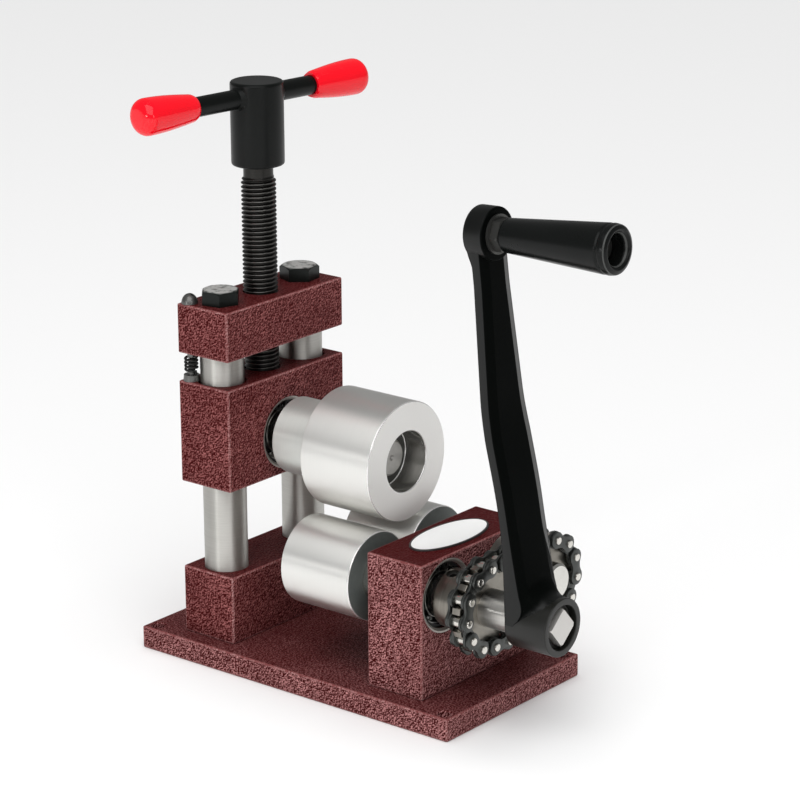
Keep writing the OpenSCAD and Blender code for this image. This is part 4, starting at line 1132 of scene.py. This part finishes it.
rows = [1 + i * fine_step for i in range(fine_rows)]
rows += [rows_from + i * row_step for i in range(math.ceil((crank_r - rows_from) / row_step))]
rings = [[crank_turn @ Vector((x, y, u)) for x, y in arm_section(u)] for u in rows]
to_world = crank_turn.to_3x3()
along_hub = to_world @ Vector(ahead)
hub_start = crank_turn @ Vector((hub_back, 0, 0))
hub_l = hub_front - hub_back
hub_floor = hub_l - hub_recess
hub = eased(
    [
        (0, 0), (0, hub_half), (hub_l, hub_half), (hub_l, hub_recess_r),
        (hub_floor, hub_recess_r), (hub_floor, 0),
    ],
    0.5,
)
grip_way = to_world @ Vector((math.cos(rake), 0, math.sin(rake)))
eye = crank_turn @ Vector((eye_x, 0, crank_r))
arm = build(
    "forged_crank_arm",
    loft(rings),
    turned(hub, hub_start, along_hub, hub_sides),
    turned(rod(2 * eye_half, eye_r, 1.2), eye - grip_way * eye_half, grip_way, 96),
)
settle(arm, "drive_line", black_arm, "crank_arm", smooth=12, also=(highlight_black,))
bevel_first = flat_steps + bevel_steps - 1
skin_faces = (len(rings) - 1) * len(rings[0]) + 2
hub_faces = hub_sides * (len(hub) - 1)
for face in arm.data.polygons:
    column = face.index % len(rings[0])
    on_bevel = bevel_first <= column < bevel_first + bevel_steps
    on_hub = skin_faces <= face.index < skin_faces + hub_faces
    face.material_index = int(on_hub or (on_bevel and face.index < skin_faces - 2))

# Spindle, nut and washer of the crank grip.
# Bought steel parts with a dark oil finish; the nut locks the spindle in the eye of the arm.
worn_nut = machined(
    "Oil-blackened nut", (0.11, 0.11, 0.105, 1), (0.05, 0.05, 0.047, 1), 0.36, 0.002, (400, 400, 0), 0.8
)
nut_across = 13.0
nut_t = 4.0
washer_t = 1.0
nut_side = to_world @ Vector((0, 1, 0))
nut_turn = Matrix((nut_side, grip_way.cross(nut_side), grip_way)).transposed().to_4x4()
nut_form = hexagon((0, 0, 0), nut_across, nut_t, 0, 0.0)
nut_place = Matrix.Translation((eye + grip_way * (eye_half + washer_t)) * mm) @ nut_turn
bmesh.ops.transform(nut_form, matrix=nut_place, verts=nut_form.verts[:])
nut = build("chamfered_spindle_nut", nut_form)
settle(nut, "drive_line", worn_nut, "spindle_nut", smooth=25)
coat("grip_spindle", worn_nut)
coat("spindle_washer", worn_nut)

# Crank grip.
# Moulded black plastic, tapered towards the arm, with a beaded rim and a deep hole in its end in
# which the head of the spindle lies. It turns on the spindle.
grip_in = eye_half + washer_t + nut_t + 0.3
grip_l = 56.0
grip_r_in = 7.3
grip_r_out = 10.8
hole_r = 6.3
hole_depth = 12.0
spindle_r = 4.55
bead = 4.2
grip_black = mottled(
    "Moulded black", (0.0030, 0.0036, 0.0034, 1), (0.0060, 0.0068, 0.0065, 1),
    (70.0, 3.0), (1500.0, 2.0), (0.32, 0.20), 0.004, 0.18,
)
# The beaded rim and the lip of the hole get a lighter grey: painted highlight.
grip_rim_highlight = mottled(
    "Grip rim with painted highlight", (0.040, 0.042, 0.040, 1), (0.075, 0.077, 0.074, 1),
    hand_worn, orange_peel, spray_rough, peel_depth, 0.3,
)
profile = eased(
    [
        (0, spindle_r), (0, grip_r_in), (grip_l - bead - 1.2, grip_r_out - 0.15),
        (grip_l - bead - 0.4, grip_r_out - 0.75), (grip_l - bead + 0.5, grip_r_out),
        (grip_l - 0.9, grip_r_out - 0.4), (grip_l, grip_r_out - 2.6), (grip_l - 1.6, hole_r + 0.5),
        (grip_l - 2.6, hole_r), (grip_l - hole_depth, hole_r), (grip_l - hole_depth, spindle_r),
        (0, spindle_r),
    ],
    0.7,
)[:-1]
grip = build("moulded_crank_grip", turned(profile, eye + grip_way * grip_in, grip_way, 96, closed=True))
settle(grip, "crank_grip", grip_black, "crank_grip", smooth=45, also=(grip_rim_highlight,))
for face in grip.data.polygons:
    spot = face.center / mm - eye
    place_along = spot.dot(grip_way) - grip_in
    out = (spot - grip_way * spot.dot(grip_way)).length
    on_bead = place_along > grip_l - 1.2 and out > grip_r_out - 0.9
    on_hole = place_along > grip_l - 1.9 and out < hole_r + 1.1
    face.material_index = int(on_bead or on_hole)

# Lead screw.
# Blackened steel screw with a right-hand metric thread, oiled, with a plain neck under the handle.
screw_foot = cad_box("lead_screw")[0].z
hub_low, hub_high = cad_box("handle_hub")
screw_pitch = 2.0
core_r = 6.8
neck_z = beam_top + 54.1
neck_l = 26.0
run_out_turns = 1.5
screw_black = machined(
    "Oiled screw", (0.050, 0.048, 0.045, 1), (0.018, 0.018, 0.017, 1), 0.36, 0.004, (120, 120, 900)
)
# The crests are coloured lighter than the flanks: partly wear, partly painted highlight.
crest_highlight_steel = machined(
    "Worn crests with painted highlight", (0.18, 0.177, 0.167, 1), (0.080, 0.080, 0.076, 1), 0.36, 0.004, (160, 160, 900)
)
around = 64
per_pitch = 10
rows = int((neck_z - screw_foot - 3) / screw_pitch * per_pitch)
fade = run_out_turns * per_pitch
thread = []
for k in range(rows + 1):
    z = neck_z - k * screw_pitch / per_pitch
    run_out = smoothstep(k / fade) * smoothstep((rows - k) / fade)
    ring = []
    for i in range(around):
        a = 2 * math.pi * i / around
        wave = ((z / screw_pitch) - i / around) % 1.0
        ridge = max(0.0, min(1.0, (0.5 - abs(wave - 0.5)) * 3.0 - 0.25))
        radius = core_r + (screw_r - core_r) * ridge * run_out
        ring.append(Vector((column_x + radius * math.cos(a), radius * math.sin(a), z)))
    thread.append(ring)
foot = []
for radius, z in ((core_r, screw_foot + 1), (core_r - 1, screw_foot)):
    foot.append(circle(Vector((column_x, 0, z)), Vector(ahead), Vector((0, 1, 0)), radius, around))
neck = turned(rod(neck_l, core_r), (column_x, 0, neck_z - 0.01), up, 64)
lead = build("threaded_lead_screw", loft(thread + foot), neck)
settle(lead, "lead_screw", screw_black, "lead_screw", smooth=60, also=(crest_highlight_steel,))
for face in lead.data.polygons:
    out = math.hypot(face.center.x / mm - column_x, face.center.y / mm)
    face.material_index = int(out > core_r + 0.8 * (screw_r - core_r) and abs(face.normal.z) < 0.9)

# Tee handle: hub and cross bar.
# Turned bar welded through a round hub, both sprayed black; a grub screw in the rear of the hub
# holds it on the tenon of the screw.
black_spray = mottled(
    "Sprayed black", black_deep, (0.0042, 0.0050, 0.0046, 1),
    hand_worn, orange_peel, spray_rough, peel_depth, 0.18,
)
hub_r = (hub_high.x - hub_low.x) / 2
hub_l = hub_high.z - hub_low.z
hub_round = 1.5
grub_rise = 8.0
grub_r = 2.55
grub_depth = 6.0
weld_sink = 1.6
# Weld bead, as places along the bar and heights over it.
weld_bead = ((0, 1.5), (1.2, 0.9), (2.6, 0.05))
hub_rim = (hub_l + 0.001, hub_r - 2 * hub_round)
profile = eased([(0, 0), (0, hub_r), (hub_l, hub_r), hub_rim, (hub_l, 0)], hub_round, 5)
bar_low, bar_high = cad_box("cross_bar")
bar_r = (bar_high.z - bar_low.z) / 2
bar_turn = math.radians(7)
bar_way = Vector((math.sin(bar_turn), math.cos(bar_turn), 0))
bar_z = (bar_high.z + bar_low.z) / 2
bar_half = (bar_high.y - bar_low.y - 2 * bar_r * math.sin(bar_turn)) / 2 / math.cos(bar_turn)
bar_mid = Vector(((bar_low.x + bar_high.x) / 2, (bar_low.y + bar_high.y) / 2, bar_z))
handle = build("black_handle_hub", turned(profile, (column_x, 0, hub_low.z), up, 96))
carve(handle, bore((column_x - hub_r, 0, hub_low.z + grub_rise), ahead, grub_r, grub_depth, 0.4))
settle(handle, "lead_screw", black_spray, "handle_hub")
welds = []
for s in (-1, 1):
    start = Vector((column_x, 0, bar_z)) + bar_way * s * (hub_r - weld_sink)
    bead_form = [(place_along, bar_r + height) for place_along, height in weld_bead]
    welds.append(turned([(0, 0), *bead_form, (weld_bead[-1][0], 0)], start, bar_way * s, 48))
bar_form = rod(2 * bar_half, bar_r, 0.5)
bar = build("black_cross_bar", turned(bar_form, bar_mid - bar_way * bar_half, bar_way, 64), *welds)
settle(bar, "lead_screw", black_spray, "cross_bar", smooth=50)

# Red grips on the cross bar.
# Dipped glossy red plastic caps, slimmest where they end on the bar and full towards the tip.
red_l = 31.4
red_hold = 3.9
red_r_in = 6.1
red_r_out = 8.4
red_round = 5.0
red_flow = (60.0, 2.0)
red_gloss = mottled(
    "Glossy red plastic", (0.95, 0.001, 0.010, 1), (1.0, 0.002, 0.016, 1),
    red_flow, red_flow, (0.14, 0.06), 0.05, 0.45, 0.5,
)
for node, s in (("near_red_grip", -1), ("far_red_grip", 1)):
    start = bar_mid + bar_way * s * (bar_half + red_hold - red_l)
    shape = [(0.6, 0), (0, bar_r), (0, red_r_in - 0.5)]
    for i in range(1, 19):
        t = i / 18
        shape.append((t * (red_l - red_round), red_r_in + (red_r_out - red_r_in) * math.sin(t * math.pi / 2)))
    for i in range(1, 10):
        a = math.radians(i * 10)
        turn_in = red_round * (1 - math.cos(a))
        shape.append((red_l - red_round + red_round * math.sin(a), red_r_out - turn_in))
    shape.append((red_l, 0))
    cap = build("red_" + node, turned(shape, start, bar_way * s, 64))
    settle(cap, "lead_screw", red_gloss, node, smooth=60)

# Floor, light and camera.
# A pale studio table under a large soft box on the camera's side, with a small fill and a small lamp at the
# left. A wide overhead lamp lights the tops and is kept out of reflections. The lens is long.
floor_size = 60.0
bm = bmesh.new()
bmesh.ops.create_grid(bm, x_segments=1, y_segments=1, size=floor_size / 2)
floor = build("floor", bm)
floor_white, tree, shader = material("Pale floor", (0.93, 0.93, 0.93, 1), 0.8, Specular_IOR_Level=0.0)
floor.data.materials.append(floor_white)

world = bpy.data.worlds.new("Studio")
scene.world = world
world.use_nodes = True
world.node_tree.nodes["Background"].inputs["Color"].default_value = (1, 1, 1, 1)
world.node_tree.nodes["Background"].inputs["Strength"].default_value = 0.24


def soft_box(name, place_at, target, size, power):
    """Square area light that looks at a point."""
    lamp = bpy.data.lights.new(name, "AREA")
    lamp.size = size
    lamp.energy = power
    holder = bpy.data.objects.new(name, lamp)
    scene.collection.objects.link(holder)
    holder.visible_camera = False
    holder.location = place_at
    holder.rotation_euler = (Vector(target) - Vector(place_at)).to_track_quat("-Z", "Y").to_euler()


soft_box("key", (0.62, -1.01, 1.49), (0, 0, 0.10), 1.9, 18)
soft_box("left", (-0.15, -1.65, 0.40), (0, 0, 0.15), 0.22, 2.5)
soft_box("fill", (1.60, -0.70, 0.60), (0, 0, 0.10), 0.4, 1.5)
overhead = bpy.data.lights.new("overhead", "SUN")
overhead.energy = 1.80
overhead.angle = math.radians(70)
overhead_holder = bpy.data.objects.new("overhead", overhead)
overhead_holder.visible_glossy = False
scene.collection.objects.link(overhead_holder)

view_azimuth = math.radians(38.98)
view_elevation = math.radians(17.38)
view_roll = math.radians(-0.34)
focal_px = 3116.1
photo_px = 800
sensor_mm = 36.0
eye_point = Vector((0.85526, -1.02503, 0.54368))
forward = Vector((
    -math.sin(view_azimuth) * math.cos(view_elevation),
    math.cos(view_azimuth) * math.cos(view_elevation),
    -math.sin(view_elevation),
))
right = Vector((math.cos(view_azimuth), math.sin(view_azimuth), 0))
upward_way = right.cross(forward)
turn = Matrix((right, upward_way, -forward)).transposed().to_4x4()
camera_data = bpy.data.cameras.new("camera")
camera_data.sensor_width = sensor_mm
camera_data.lens = focal_px / photo_px * sensor_mm
camera_data.clip_end = 100
camera = bpy.data.objects.new("camera", camera_data)
scene.collection.objects.link(camera)
camera.matrix_world = Matrix.Translation(eye_point) @ turn @ Matrix.Rotation(view_roll, 4, "Z")
scene.camera = camera
scene.view_settings.view_transform = "Standard"
